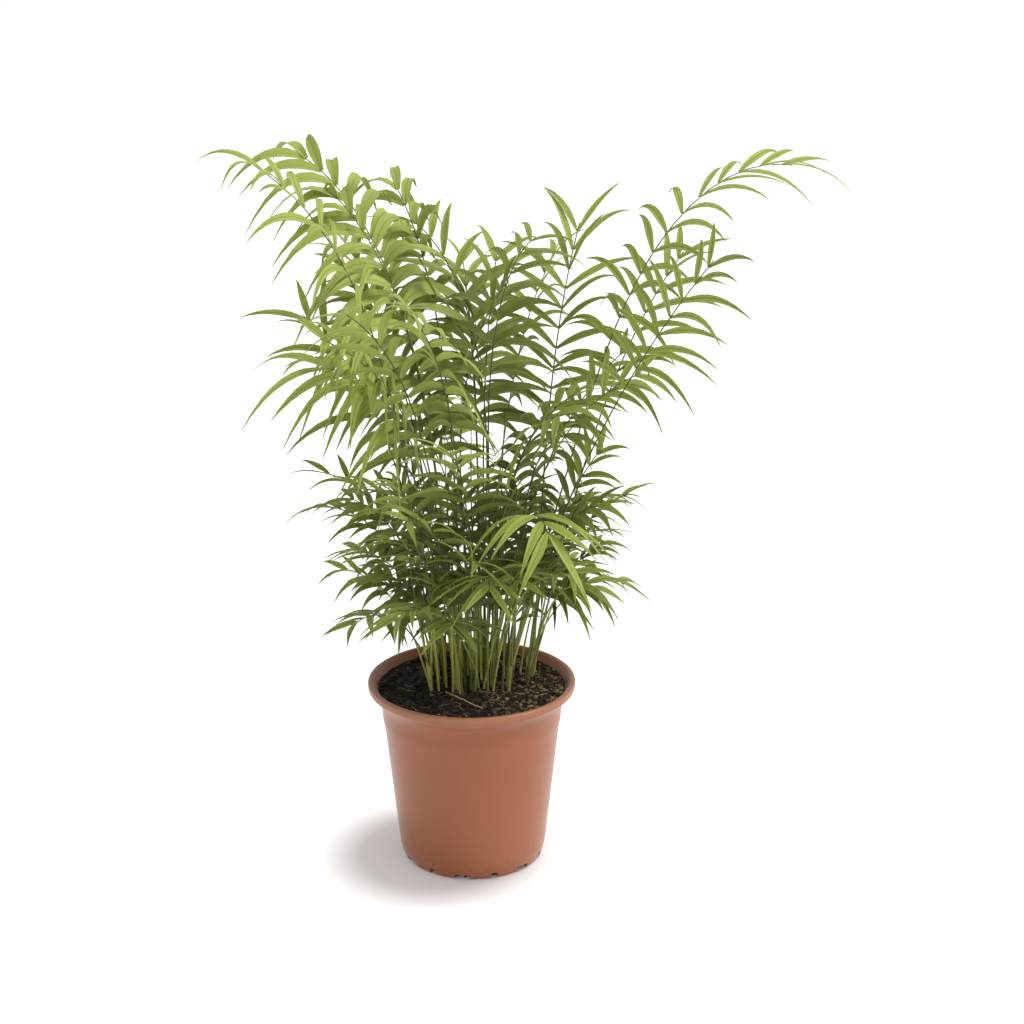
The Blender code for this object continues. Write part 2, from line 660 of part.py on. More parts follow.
def build_frond(number, frond):
    """Stalk, midrib and leaflets drawn as one sheet, then given their thickness."""
    name = f"frond_{number:02d}"
    sheet = bmesh.new()
    weights = {}

    def rib(share, thick):
        point, _tangent, side, _face = frond.spine.at(share)
        half = stalk_half_width(share)
        left = sheet.verts.new(point + side * half)
        right = sheet.verts.new(point - side * half)
        weights[left] = thick
        weights[right] = thick
        return left, right

    def strip(behind, ahead):
        sheet.faces.new((behind[1], ahead[1], ahead[0], behind[0]))

    last = rib(0.0, 1.0)
    for step in STALK_STEPS:
        ahead = rib(step * frond.stalk_share, 1.0)
        strip(last, ahead)
        last = ahead
    for pair in range(frond.pairs):
        thick = 1.0 - 0.5 * (pair + 1) / frond.pairs
        root_start, root_end = root_shares(frond.length, frond.stalk_share, frond.pairs, pair)
        start = rib(root_start, thick)
        strip(last, start)
        end = rib(root_end, thick)
        strip(start, end)
        last = end
        for hand, leaflet in zip((0, 1), frond.leaflets[pair]):
            if leaflet is not None:
                blade(sheet, weights, leaflet, start[hand], end[hand], hand == 0)
    point, _tangent, _side, _face = frond.spine.at(1.0)
    tip = sheet.verts.new(point)
    weights[tip] = 0.4
    sheet.faces.new((last[1], tip, last[0]))

    sheet.verts.index_update()
    order = [(vertex.index, weight) for vertex, weight in weights.items()]
    mesh = bpy.data.meshes.new(name)
    sheet.to_mesh(mesh)
    sheet.free()
    thing = place(name, mesh, (0.17, 0.26, 0.055), 0.42)
    group = thing.vertex_groups.new(name="stalk")
    for index, weight in order:
        group.add([index], weight, "REPLACE")
    thicken = thing.modifiers.new("thickness", "SOLIDIFY")
    thicken.thickness = STALK_THICKNESS
    thicken.offset = 0.0
    thicken.vertex_group = "stalk"
    thicken.thickness_vertex_group = LEAFLET_THICKNESS_SHARE
    return thing


def blade(sheet, weights, leaflet, start, end, is_left):
    """Faces of one leaflet, from its root on the midrib to its point."""
    back, front = start, end
    for share in leaflet_shares(leaflet):
        centre, across, _face, half = leaflet.section(share)
        front_next = sheet.verts.new(centre + across * half)
        back_next = sheet.verts.new(centre - across * half)
        corners = (back, front, front_next, back_next)
        sheet.faces.new(corners if is_left else corners[::-1])
        back, front = back_next, front_next
        weights[back] = 0.0
        weights[front] = 0.0
    centre, _across, _face, _half = leaflet.section(1.0)
    point = sheet.verts.new(centre)
    weights[point] = 0.0
    corners = (back, front, point)
    sheet.faces.new(corners if is_left else corners[::-1])


def main():
    clear_scene()
    canes, fronds = grow_plant()
    build_pot()
    build_soil()
    for number, (foot, top, tip) in enumerate(canes, start=1):
        build_cane(number, foot, top, tip)
    for number, frond in enumerate(fronds, start=1):
        build_frond(number, frond)


if __name__ == "__main__":
    main()
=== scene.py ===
"""Looks of a potted parlour palm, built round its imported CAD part.

Metres, +Z up, the pot's axis on the Z axis, -Y the front.  The plant is grown by the same rules as
the CAD part, so every leaf, stalk and stem lies where its solid does, and then gets its fine shape.
"""

from __future__ import annotations

import sys

import itertools
import logging
import math
import random
from collections.abc import Iterable, Mapping, Sequence
from dataclasses import dataclass, field
from enum import Enum
from typing import Union

import bmesh
import bpy
from bmesh.types import BMEdge, BMesh, BMVert
from mathutils import Matrix, Vector, noise
from mathutils.bvhtree import BVHTree

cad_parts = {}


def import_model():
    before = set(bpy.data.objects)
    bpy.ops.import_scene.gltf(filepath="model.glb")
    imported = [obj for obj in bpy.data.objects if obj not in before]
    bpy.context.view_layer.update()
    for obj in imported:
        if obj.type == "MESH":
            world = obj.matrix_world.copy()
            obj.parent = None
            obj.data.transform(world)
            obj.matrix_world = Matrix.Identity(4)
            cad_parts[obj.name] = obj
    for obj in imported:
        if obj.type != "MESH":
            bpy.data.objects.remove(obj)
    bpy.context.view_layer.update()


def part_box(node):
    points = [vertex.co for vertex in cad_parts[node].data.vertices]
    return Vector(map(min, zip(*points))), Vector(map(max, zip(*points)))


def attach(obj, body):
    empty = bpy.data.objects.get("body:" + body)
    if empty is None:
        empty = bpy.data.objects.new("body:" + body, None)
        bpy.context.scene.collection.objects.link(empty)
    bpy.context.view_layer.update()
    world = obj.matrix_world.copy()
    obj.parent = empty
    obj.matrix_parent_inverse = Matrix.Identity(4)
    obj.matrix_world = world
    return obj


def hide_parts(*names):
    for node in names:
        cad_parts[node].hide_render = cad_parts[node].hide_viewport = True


LOG = logging.getLogger("palm")
MM = 0.001
UP = Vector((0.0, 0.0, 1.0))
Colour = tuple[float, float, float]
WHITE = (1.0, 1.0, 1.0)
Section = tuple[Vector, Vector, Vector, float, float]
Hull = tuple[list[Vector], list[tuple[int, ...]]]


class Slot(Enum):
    """Material slots of the part's record."""

    POT = "pot_plastic"
    SOIL = "potting_soil"
    CANE = "cane_green"
    LEAF = "leaf_green"


# ------------------------------------------------------------------ shader building

class Wire:
    """A value that flows between shader nodes and takes part in arithmetic."""

    def __init__(self, paint: Nodes, socket: bpy.types.NodeSocket) -> None:
        """Wraps an output socket."""
        self.paint = paint
        self.socket = socket

    def __add__(self, other: Number) -> Wire:
        """Sum."""
        return self.paint.maths("ADD", self, other)

    def __radd__(self, other: Number) -> Wire:
        """Sum with a number on the left."""
        return self.paint.maths("ADD", other, self)

    def __sub__(self, other: Number) -> Wire:
        """Difference."""
        return self.paint.maths("SUBTRACT", self, other)

    def __rsub__(self, other: Number) -> Wire:
        """Difference from a number on the left."""
        return self.paint.maths("SUBTRACT", other, self)

    def __mul__(self, other: Number) -> Wire:
        """Product."""
        return self.paint.maths("MULTIPLY", self, other)

    def __pow__(self, other: Number) -> Wire:
        """Power."""
        return self.paint.maths("POWER", self, other)

    def __abs__(self) -> Wire:
        """Absolute value."""
        return self.paint.maths("ABSOLUTE", self, 0.0)


Number = Union[float, Wire]
Shade = Union[Colour, Wire]


class Nodes:
    """A node tree, written as expressions."""

    def __init__(self, tree: bpy.types.NodeTree) -> None:
        """Starts with an empty tree."""
        self.tree = tree
        self.tree.nodes.clear()

    def node(self, kind: str, settings: Mapping[str, object] | None = None,
             inputs: Mapping[str | int, object] | None = None) -> bpy.types.Node:
        """Adds a node, sets its options and then fills its sockets.

        Args:
            kind: The node's type.
            settings: Options such as a Math node's operation; "stops" gives a ramp's stops.
            inputs: Values or wires by socket name or number.

        Returns:
            The new node.
        """
        made = self.tree.nodes.new(kind)
        for key, value in (settings or {}).items():
            if key == "stops":
                self.set_stops(made, value)
            else:
                setattr(made, key, value)
        for key, value in (inputs or {}).items():
            if isinstance(value, Wire):
                self.tree.links.new(value.socket, made.inputs[key])
            elif isinstance(value, tuple) and len(value) == 3 and made.inputs[key].type == "RGBA":
                made.inputs[key].default_value = (*value, 1.0)
            else:
                made.inputs[key].default_value = value
        return made

    @staticmethod
    def set_stops(ramp: bpy.types.Node, stops: Sequence[tuple[float, Colour]]) -> None:
        """Gives a colour ramp its stops.

        Args:
            ramp: The Color Ramp node.
            stops: Place and colour of each stop, in rising order.
        """
        elements = ramp.color_ramp.elements
        while len(elements) < len(stops):
            elements.new(1.0)
        for element, (place, colour) in zip(elements, stops):
            element.position = place
            element.color = (*colour, 1.0)

    def wire(self, made: bpy.types.Node, output: str | int = 0) -> Wire:
        """An output of a node as a wire."""
        return Wire(self, made.outputs[output])

    def maths(self, operation: str, first: Number, second: Number) -> Wire:
        """One Math node."""
        return self.wire(self.node("ShaderNodeMath", {"operation": operation},
                                   {0: first, 1: second}))

    def place(self) -> Wire:
        """Object coordinates."""
        return self.wire(self.node("ShaderNodeTexCoord"), "Object")

    def chart(self) -> tuple[Wire, Wire]:
        """The piece's own UV map, as across and along.

        Returns:
            Across and along.
        """
        split = self.node("ShaderNodeSeparateXYZ", None,
                          {0: self.wire(self.node("ShaderNodeTexCoord"), "UV")})
        return self.wire(split, 0), self.wire(split, 1)

    def axes(self) -> tuple[Wire, Wire, Wire]:
        """Object coordinates as three values."""
        split = self.node("ShaderNodeSeparateXYZ", None, {0: self.place()})
        return self.wire(split, 0), self.wire(split, 1), self.wire(split, 2)

    def note(self, name: str) -> tuple[Wire, Wire, Wire]:
        """The three numbers of a colour attribute of the piece.

        Args:
            name: The attribute's name.

        Returns:
            Its red, green and blue numbers.
        """
        read = self.node("ShaderNodeAttribute", {"attribute_name": name})
        split = self.node("ShaderNodeSeparateColor", None, {0: self.wire(read, "Color")})
        return self.wire(split, 0), self.wire(split, 1), self.wire(split, 2)

    def stretched(self, x: float, y: float, z: float) -> Wire:
        """Object coordinates stretched along each axis."""
        return self.wire(self.node("ShaderNodeMapping", None,
                                   {"Vector": self.place(), "Scale": (x, y, z)}))

    def grain(self, scale: float, detail: float = 3.0, where: Wire | None = None,
              rough: float = 0.55) -> Wire:
        """Noise between about 0.2 and 0.8.

        Args:
            scale: Lumps per metre.
            detail: Octaves.
            where: Coordinates, or None for object coordinates.
            rough: How strong the finer octaves are.

        Returns:
            The noise.
        """
        return self.wire(self.node("ShaderNodeTexNoise", None, {
            "Vector": where or self.place(), "Scale": scale, "Detail": detail,
            "Roughness": rough}), 0)

    def step(self, value: Number, low: float, high: float) -> Wire:
        """Smooth step from 0 at low to 1 at high."""
        return self.wire(self.node("ShaderNodeMapRange", {"interpolation_type": "SMOOTHSTEP"}, {
            "Value": value, "From Min": low, "From Max": high}))

    def mix(self, share: Number, first: Shade, second: Shade) -> Wire:
        """Mixes two colours."""
        made = self.node("ShaderNodeMix", {"data_type": "RGBA"}, {0: share, 6: first, 7: second})
        return self.wire(made, 2)

    def ramp(self, value: Wire, stops: Sequence[tuple[float, Colour]]) -> Wire:
        """Colour ramp over a value."""
        return self.wire(self.node("ShaderNodeValToRGB", {"stops": stops}, {0: value}), 0)

    def relief(self, height: Wire, depth: float, under: Wire | None = None) -> Wire:
        """Bump.

        Args:
            height: Height pattern.
            depth: Depth of the pattern in metres.
            under: A normal that it lies on.

        Returns:
            The bumped normal.
        """
        inputs: dict[str | int, object] = {"Height": height, "Distance": depth, "Strength": 1.0}
        if under is not None:
            inputs["Normal"] = under
        return self.wire(self.node("ShaderNodeBump", None, inputs), 0)

    def principled(self, inputs: Mapping[str | int, object]) -> Wire:
        """A Principled shader as a wire."""
        return self.wire(self.node("ShaderNodeBsdfPrincipled", None, inputs), 0)


class Paint(Nodes):
    """One material's nodes."""

    def __init__(self, name: str) -> None:
        """Starts an empty material.

        Args:
            name: The material's name.
        """
        self.material = bpy.data.materials.new(name)
        self.material.use_nodes = True
        super().__init__(self.material.node_tree)

    def close(self, shader: Wire) -> bpy.types.Material:
        """Joins a shader to the output and hands the material over."""
        self.node("ShaderNodeOutputMaterial", None, {"Surface": shader})
        return self.material


class Sky(Nodes):
    """The world's nodes."""

    def __init__(self, name: str) -> None:
        """Starts an empty world.

        Args:
            name: The world's name.
        """
        self.world = bpy.data.worlds.new(name)
        self.world.use_nodes = True
        super().__init__(self.world.node_tree)


# ------------------------------------------------------------------ finishes

@dataclass(frozen=True)
class PlasticFinish:
    """Satin moulded plastic in terracotta brown."""

    body: Colour = (0.274, 0.075, 0.019)
    worn: Colour = (0.310, 0.099, 0.031)
    pale_tint: Colour = (0.36, 0.18, 0.10)
    roughness: float = 0.36
    sheen: float = 0.24

    def paint(self) -> bpy.types.Material:
        """Builds the material.

        Returns:
            The material.
        """
        paint = Paint("terracotta plastic")
        _across, _back, height = paint.axes()
        cloud = paint.grain(9.0, 3.0)
        streak = paint.grain(1.0, 3.0, paint.stretched(160.0, 160.0, 9.0))
        speck = paint.grain(420.0, 2.0)
        colour = paint.mix(paint.step(cloud, 0.38, 0.72) * 0.35, self.body, self.worn)
        colour = paint.mix(paint.step(streak, 0.45, 0.8) * 0.12, colour, self.worn)
        # The lip's top and inner edge are paler and rougher.
        lip_top_pale = paint.step(height, 0.144, 0.1525) * 0.45
        colour = paint.mix(lip_top_pale, colour, self.pale_tint)
        # Paler specks towards the foot.
        foot_specks = paint.step(height, 0.03, 0.0) * paint.step(speck, 0.4, 0.7) * 0.35
        colour = paint.mix(foot_specks, colour, self.pale_tint)
        roughness = cloud * 0.10 + streak * 0.05 + lip_top_pale * 0.2 + (self.roughness - 0.07)
        normal = paint.relief(streak, 0.00005, paint.relief(speck, 0.00006))
        return paint.close(paint.principled({
            "Base Color": colour, "Roughness": roughness, "Normal": normal,
            "Specular IOR Level": 0.55, "Sheen Weight": self.sheen, "Sheen Roughness": 0.35}))


@dataclass(frozen=True)
class SoilFinish:
    """Damp peat: dark and smooth on one side, dry and crumbly on the other."""

    wet: Colour = (0.009, 0.006, 0.004)
    damp: Colour = (0.026, 0.017, 0.009)
    dry: Colour = (0.095, 0.062, 0.030)

    def paint(self) -> bpy.types.Material:
        """Builds the material.

        Returns:
            The material.
        """
        paint = Paint("potting soil")
        across, _back, _height = paint.axes()
        lump = paint.grain(110.0, 5.0, rough=0.65)
        crumb = paint.grain(620.0, 4.0, rough=0.7)
        dryness = paint.step(across + (lump - 0.5) * 0.06, -0.02, 0.05)
        colour = paint.ramp(crumb, ((0.25, self.wet), (0.5, self.damp), (0.78, self.dry)))
        colour = paint.mix(dryness * 0.5, self.wet, colour)
        roughness = 0.97 - (1 - dryness) * 0.25
        normal = paint.relief(crumb, 0.0009, paint.relief(lump, 0.002))
        return paint.close(paint.principled({
            "Base Color": colour, "Roughness": roughness, "Normal": normal,
            "Specular IOR Level": 0.25}))


@dataclass(frozen=True)
class ChipFinish:
    """Loose bits on the soil; each bit carries its own tone."""

    name: str
    dark: Colour
    middle: Colour
    light: Colour
    roughness: float = 0.9

    def paint(self) -> bpy.types.Material:
        """Builds the material.

        Returns:
            The material.
        """
        paint = Paint(self.name)
        tone, _green, _blue = paint.note("tone")
        fleck = paint.grain(900.0, 3.0)
        shade = tone * 0.8 + (fleck - 0.5) * 0.45
        colour = paint.ramp(shade, ((0.0, self.dark), (0.45, self.middle), (0.9, self.light)))
        normal = paint.relief(fleck, 0.0003)
        return paint.close(paint.principled({
            "Base Color": colour, "Roughness": self.roughness + (fleck - 0.5) * 0.1,
            "Normal": normal, "Specular IOR Level": 0.3}))


@dataclass(frozen=True)
class StemFinish:
    """Sheathed stem: straw-pale at the soil, yellow-green above, with fine ribs."""

    base: Colour = (0.50, 0.50, 0.15)
    middle: Colour = (0.40, 0.43, 0.075)
    upper: Colour = (0.105, 0.112, 0.024)
    scar: Colour = (0.13, 0.08, 0.035)
    shaded: Colour = (0.060, 0.070, 0.016)

    def paint(self) -> bpy.types.Material:
        """Builds the material.

        Returns:
            The material.
        """
        paint = Paint("green stem")
        _across, _back, height = paint.axes()
        mottle = paint.grain(260.0, 4.0)
        fibre = paint.grain(1.0, 3.0, paint.stretched(2400.0, 2400.0, 45.0))
        tone, _green, _blue = paint.note("growth")
        level = height + (mottle - 0.5) * 0.03 + (tone - 0.5) * 0.03
        colour = paint.mix(paint.step(level, 0.138, 0.185), self.base, self.middle)
        colour = paint.mix(paint.step(level, 0.18, 0.30), colour, self.upper)
        colour = paint.mix(paint.step(mottle, 0.58, 0.74) * 0.35, colour, self.scar)
        colour = paint.mix(paint.step(fibre, 0.5, 0.8) * 0.3, colour, self.base)
        colour = paint.mix((1 - paint.step(tone, 0.35, 0.62)) * 0.85, colour, self.shaded)
        normal = paint.relief(fibre, 0.00012)
        return paint.close(paint.principled({
            "Base Color": colour, "Roughness": 0.42 + (mottle - 0.5) * 0.2, "Normal": normal,
            "Specular IOR Level": 0.4}))


@dataclass(frozen=True)
class LeafFinish:
    """Thin leaf: green that varies from leaf to leaf, parallel veins, light coming through, painted
    light on high and outer leaves, painted shade low in the clump's heart.
    """

    painted_shade_green: Colour = (0.034, 0.046, 0.011)
    shade: Colour = (0.052, 0.074, 0.016)
    middle: Colour = (0.225, 0.275, 0.050)
    sunlit: Colour = (0.500, 0.560, 0.135)
    young: Colour = (0.460, 0.530, 0.110)
    dry_tip: Colour = (0.36, 0.27, 0.11)
    through: Colour = (0.46, 0.53, 0.080)
    through_share: float = 0.29
    heart: tuple[float, float] = (0.010, 0.010)
    veins: float = 18.0
    roughness: float = 0.47

    def paint(self) -> bpy.types.Material:
        """Builds the material.

        Returns:
            The material.
        """
        paint = Paint("palm leaf")
        across, along = paint.chart()
        # The third number of growth is the leaf's height, used for painted light.
        tone, youth, height = paint.note("growth")
        blotch = paint.grain(55.0, 3.0)
        fine = paint.grain(700.0, 3.0)
        x, y, z = paint.axes()
        reach = ((x - self.heart[0]) ** 2 + (y - self.heart[1]) ** 2) ** 0.5
        outer_painted_light = paint.step(reach, 0.02, 0.12)
        # Leaf green: each leaf's own random tone and blotches, plus painted light that makes high
        # and outer leaves lighter, from the shade stop to the sunlit stop.
        green = paint.ramp(tone * 0.55 + height * 0.40 + outer_painted_light * 0.32 + (blotch - 0.5) * 0.35,
                           ((0.14, self.shade), (0.52, self.middle), (0.94, self.sunlit)))
        # Painted shade: leaves low down and near the clump's heart are painted darker.
        painted_shade_share = (1 - paint.step(reach, 0.04, 0.11)) * (1 - paint.step(z, 0.22, 0.42))
        green = paint.mix(painted_shade_share * 0.95, green, self.painted_shade_green)
        green = paint.mix(youth, green, self.young)
        off_centre = abs(across - 0.5)
        vein = paint.wire(paint.node("ShaderNodeMath", {"operation": "PINGPONG"},
                                     {0: across, 1: 1 / self.veins}))
        lines = paint.step(vein * self.veins, 0.62, 0.98)
        green = paint.mix(lines * 0.16, green, self.young)
        rib = 1 - paint.step(off_centre, 0.0, 0.07)
        green = paint.mix(rib * 0.45, green, self.young)
        root = 1 - paint.step(along, 0.0, 0.09)
        green = paint.mix(root * 0.5, green, self.young)
        burnt = paint.step(along, 0.975, 1.0) * paint.step(tone, 0.45, 0.7)
        green = paint.mix(burnt * 0.8, green, self.dry_tip)
        roughness = (blotch - 0.5) * 0.2 + (fine - 0.5) * 0.1 + self.roughness
        ribbed = paint.relief(rib, 0.0003, paint.relief(blotch, 0.0012))
        normal = paint.relief(lines, 0.00012, ribbed)
        surface = paint.principled({
            "Base Color": green, "Roughness": roughness, "Normal": normal,
            "Specular IOR Level": 0.38})
        glow = paint.wire(paint.node("ShaderNodeBsdfTranslucent", None, {"Color": self.through}))
        return paint.close(paint.wire(paint.node("ShaderNodeMixShader", None, {
            0: self.through_share, 1: surface, 2: glow})))


@dataclass(frozen=True)
class FloorFinish:
    """Plain white studio floor."""

    white: Colour = (0.90, 0.895, 0.89)
    grey: Colour = (0.86, 0.86, 0.86)
    glow: float = 0.07

    def paint(self) -> bpy.types.Material:
        """Builds the material.

        Returns:
            The material.
        """
        paint = Paint("white floor")
        fleck = paint.grain(3.0, 2.0)
        colour = paint.mix((fleck - 0.5) * 0.02 + 0.01, self.white, self.grey)
        return paint.close(paint.principled({
            "Base Color": colour, "Roughness": 0.9, "Specular IOR Level": 0.1,
            "Emission Color": WHITE, "Emission Strength": self.glow}))


# ------------------------------------------------------------------ mesh helpers

SHARP_BIT = 25.0
SHARP_POT = 38.0
SHARP_STRAND = 60.0
SHARP_BED = 80.0


def clamped(value: float) -> float:
    """The value, kept from 0 to 1."""
    return min(max(value, 0.0), 1.0)


@dataclass(frozen=True)
class Ring:
    """One cross-section of a round stalk, stem or fibre."""

    centre: Vector
    across: Vector
    face: Vector
    wide: float
    thick: float

    def matrix(self) -> Matrix:
        """Places a unit circle on this cross-section.

        Returns:
            The place, turn and size.
        """
        columns = (self.across * self.wide, self.face * self.thick,
                   self.across.cross(self.face).normalized() * self.wide, self.centre)
        return Matrix([[column[row] for column in columns] for row in range(3)]
                      + [[0.0, 0.0, 0.0, 1.0]])


def sweep(mesh: BMesh, rings: Sequence[Ring], sides: int) -> list[BMVert]:
    """Grows a closed tube from ring to ring.

    Args:
        mesh: The mesh that it's added to.
        rings: Cross-sections from start to end.
        sides: Corners of each cross-section.

    Returns:
        The tube's vertices.
    """
    verts = bmesh.ops.create_circle(mesh, cap_ends=True, segments=sides, radius=1.0,
                                    matrix=rings[0].matrix())["verts"]
    made = list(verts)
    edges = list({edge for vert in verts for edge in vert.link_edges})
    for before, after in itertools.pairwise(rings):
        grown = bmesh.ops.extrude_edge_only(mesh, edges=edges)["geom"]
        verts = [item for item in grown if isinstance(item, BMVert)]
        edges = [item for item in grown if isinstance(item, BMEdge)]
        edges = [edge for edge in edges if edge.verts[0] in verts and edge.verts[1] in verts]
        bmesh.ops.transform(mesh, matrix=after.matrix() @ before.matrix().inverted(), verts=verts)
        made += verts
    bmesh.ops.edgeloop_fill(mesh, edges=edges)
    return made


def rings_along(points: Sequence[Vector], radii: Sequence[float], flat: float = 1.0) -> list[Ring]:
    """Cross-sections along a line of points.

    Args:
        points: The line.
        radii: Radius at each point.
        flat: Thickness as a share of the width.

    Returns:
        One ring for each point.
    """
    rings = []
    last = len(points) - 1
    for index, (point, radius) in enumerate(zip(points, radii)):
        way = (points[min(index + 1, last)] - points[max(index - 1, 0)]).normalized()
        helper = Vector((0.0, 1.0, 0.0)) if abs(way.y) < 0.9 else Vector((1.0, 0.0, 0.0))
        across = helper.cross(way).normalized()
        rings.append(Ring(point, across, way.cross(across), radius, radius * flat))
    return rings


def rounded(corners: Sequence[tuple[float, float, float]],
            steps: int = 4) -> list[tuple[float, float]]:
    """Rounds the corners of a turned profile.

    Args:
        corners: Radius, height and fillet size of each corner.
        steps: Points in each fillet, less one.

    Returns:
        Radius and height of each point.
    """
    points: list[tuple[float, float]] = []
    for index, (radius, height, fillet) in enumerate(corners):
        here = Vector((radius, height))
        if fillet <= 0 or index in (0, len(corners) - 1):
            points.append((radius, height))
            continue
        before = Vector(corners[index - 1][:2]) - here
        after = Vector(corners[index + 1][:2]) - here
        start = here + before.normalized() * min(fillet, before.length * 0.48)
        end = here + after.normalized() * min(fillet, after.length * 0.48)
        for step in range(steps + 1):
            share = step / steps
            point = start.lerp(here, share).lerp(here.lerp(end, share), share)
            points.append((point.x, point.y))
    return points


def turned(mesh: BMesh, profile: Sequence[tuple[float, float]], steps: int) -> None:
    """Spins a profile round the Z axis into a closed solid.

    Args:
        mesh: The mesh that it's added to.
        profile: Radius and height of each point, starting and ending on the axis.
        steps: Steps round the turn.
    """
    verts = [mesh.verts.new((radius, 0.0, height)) for radius, height in profile]
    edges = [mesh.edges.new(pair) for pair in itertools.pairwise(verts)]
    bmesh.ops.spin(mesh, geom=[*verts, *edges], cent=(0.0, 0.0, 0.0), axis=(0.0, 0.0, 1.0),
                   angle=math.tau, steps=steps, use_merge=True)
    bmesh.ops.remove_doubles(mesh, verts=mesh.verts, dist=0.00001)
    bmesh.ops.recalc_face_normals(mesh, faces=mesh.faces)


def finished(name: str, mesh: BMesh, paints: Sequence[bpy.types.Material],
             sharp_degrees: float = 40.0) -> bpy.types.Object:
    """Turns a bmesh into a smooth shaded object at the origin.

    Args:
        name: The piece's name.
        mesh: Its mesh, which is freed.
        paints: Its materials.
        sharp_degrees: Edges that turn more than this stay sharp.

    Returns:
        The object.
    """
    data = bpy.data.meshes.new(name)
    mesh.to_mesh(data)
    mesh.free()
    data.shade_smooth()
    data.set_sharp_from_angle(angle=math.radians(sharp_degrees))
    for paint in paints:
        data.materials.append(paint)
    thing = bpy.data.objects.new(name, data)
    bpy.context.scene.collection.objects.link(thing)
    return thing


def report(thing: bpy.types.Object) -> None:
    """Logs a piece's size in faces."""
    LOG.info("%s: %d faces", thing.name, len(thing.data.polygons))


# ------------------------------------------------------------------ growth, as in the CAD part

RIM_RADIUS = 85 * MM
RIM_DEPTH = 7 * MM
POT_HEIGHT = 153 * MM
COLLAR_RADIUS = 73.5 * MM
COLLAR_BOTTOM = 118 * MM
BODY_TOP_RADIUS = 72 * MM
BASE_RADIUS = 60.5 * MM
WALL = 2.2 * MM
SOIL_TOP = 145 * MM
SOIL_LUMPS = 1.6 * MM
PLANTING_DEPTH = 14 * MM
NOTCH_COUNT = 14
FIRST_NOTCH = -97.0
NOTCH_SIZES = ((13 * MM, 4.4 * MM), (5.5 * MM, 5.4 * MM))
CANE_CLEARANCE = 0.4 * MM
CANE_RADIUS = 2.2 * MM
CANE_TOP_RADIUS = 3.9 * MM
CANE_SPLAY = 0.10
CLUMP_CENTRE = Vector((8 * MM, 12 * MM))
SPEAR_RADIUS = 0.7 * MM
SEAT_RADIUS = 2.8 * MM
SEAT_RISE = 1.3 * MM
SEAT_ANGLES = (30, 120, 210, 300)
STALK_THICKNESS = 2.0 * MM
LEAFLET_THICKNESS_SHARE = 0.45
RACHIS_TIP_SHARE = 0.5
SPINE_STEPS = 24
LEAFLET_ROOT = 4.5 * MM
STALK_STEPS = (0.25, 0.5, 0.75, 1.0)
STALK_GAP = 0.5 * MM
LEAF_GAP = 0.9 * MM
YOUNG_PAIRS = 5
YOUNG_TIP_LOSS = 0.05
TIP_LOSS = 0.3
SWEEP_AT_FOOT = 72
SWEEP_LOSS = 46
LEAFLET_LIFT = 10
LONG_LEAFLET = 82 * MM
LONG_LEAFLET_SECTIONS = (0.4, 0.72)
SHORT_LEAFLET_SECTIONS = (0.45,)
PLACE_TOLERANCE = 9 * MM
SPINE_CHANGES = sorted(
    itertools.product(range(-60, 61, 4), range(-12, 13, 2), (1.0, 0.85, 0.7)),
    key=lambda change: abs(change[0]) / 4 + abs(change[1]) / 2 + 18 * (1 - change[2]),
)
LEAFLET_CHANGES = (
    (0, 0, 1.0), (12, 0, 1.0), (-12, 0, 1.0), (0, 8, 0.95), (0, -8, 0.95), (20, 5, 0.85),
    (-20, -5, 0.85), (8, -12, 0.75), (-8, 12, 0.75), (30, 0, 0.7), (-30, 0, 0.7),
    (0, 0, 0.5), (20, 10, 0.45), (-20, -10, 0.45),
)


def heading(degrees: float) -> Vector:
    """Unit vector on the floor plane, turned from +X towards +Y."""
    angle = math.radians(degrees)
    return Vector((math.cos(angle), math.sin(angle), 0.0))


@dataclass(frozen=True)
class CaneSize:
    """Where a cane stands and how tall it is, in millimetres."""

    across: float
    back: float
    height: float
    spear: float

    def line(self) -> tuple[Vector, Vector, Vector, Vector]:
        """Foot, direction, top and spear tip, leaning away from the middle of the clump.

        Returns:
            The foot, direction, top and tip.
        """
        foot = Vector((self.across * MM, self.back * MM, SOIL_TOP))
        outward = (foot.xy - CLUMP_CENTRE) / (45 * MM)
        lean = Vector((outward.x, outward.y, 0.0)) * CANE_SPLAY
        direction = (Vector((0.0, 0.0, 1.0)) + lean).normalized()
        top = foot + direction * self.height * MM
        tip = top + (direction + lean * 0.6).normalized() * self.spear * MM
        return foot, direction, top, tip

    def seats(self, azimuth: float) -> list[Vector]:
        """The seats on the cane's top, nearest to a heading first.

        Args:
            azimuth: The heading in degrees.

        Returns:
            The seats' places.
        """
        _foot, direction, top, _tip = self.line()
        angles = sorted(SEAT_ANGLES, key=lambda turn: abs((turn - azimuth + 180) % 360 - 180))
        return [top + heading(angle) * SEAT_RADIUS + direction * SEAT_RISE for angle in angles]


@dataclass(frozen=True)
class FrondSize:
    """One row of the frond table: angles in degrees, lengths in millimetres."""

    cane: int
    azimuth: float
    lean: float
    bend: float
    power: float
    length: float
    stalk_share: float
    roll: float
    pairs: int
    leaflet_length: float
    leaflet_width: float
    droop: float


CANES = tuple(CaneSize(*row) for row in (
    (-33, -9, 22, 95),
    (-22, 8, 34, 150),
    (-29, 25, 26, 115),
    (-12, -4, 28, 85),
    (-9, 17, 40, 185),
    (2, -12, 20, 105),
    (4, 27, 40, 205),
    (9, 48, 28, 130),
    (16, -2, 30, 130),
    (19, 16, 38, 195),
    (30, -10, 22, 100),
    (32, 8, 28, 140),
    (51, 30, 24, 115),
    (45, 7, 20, 85),
))

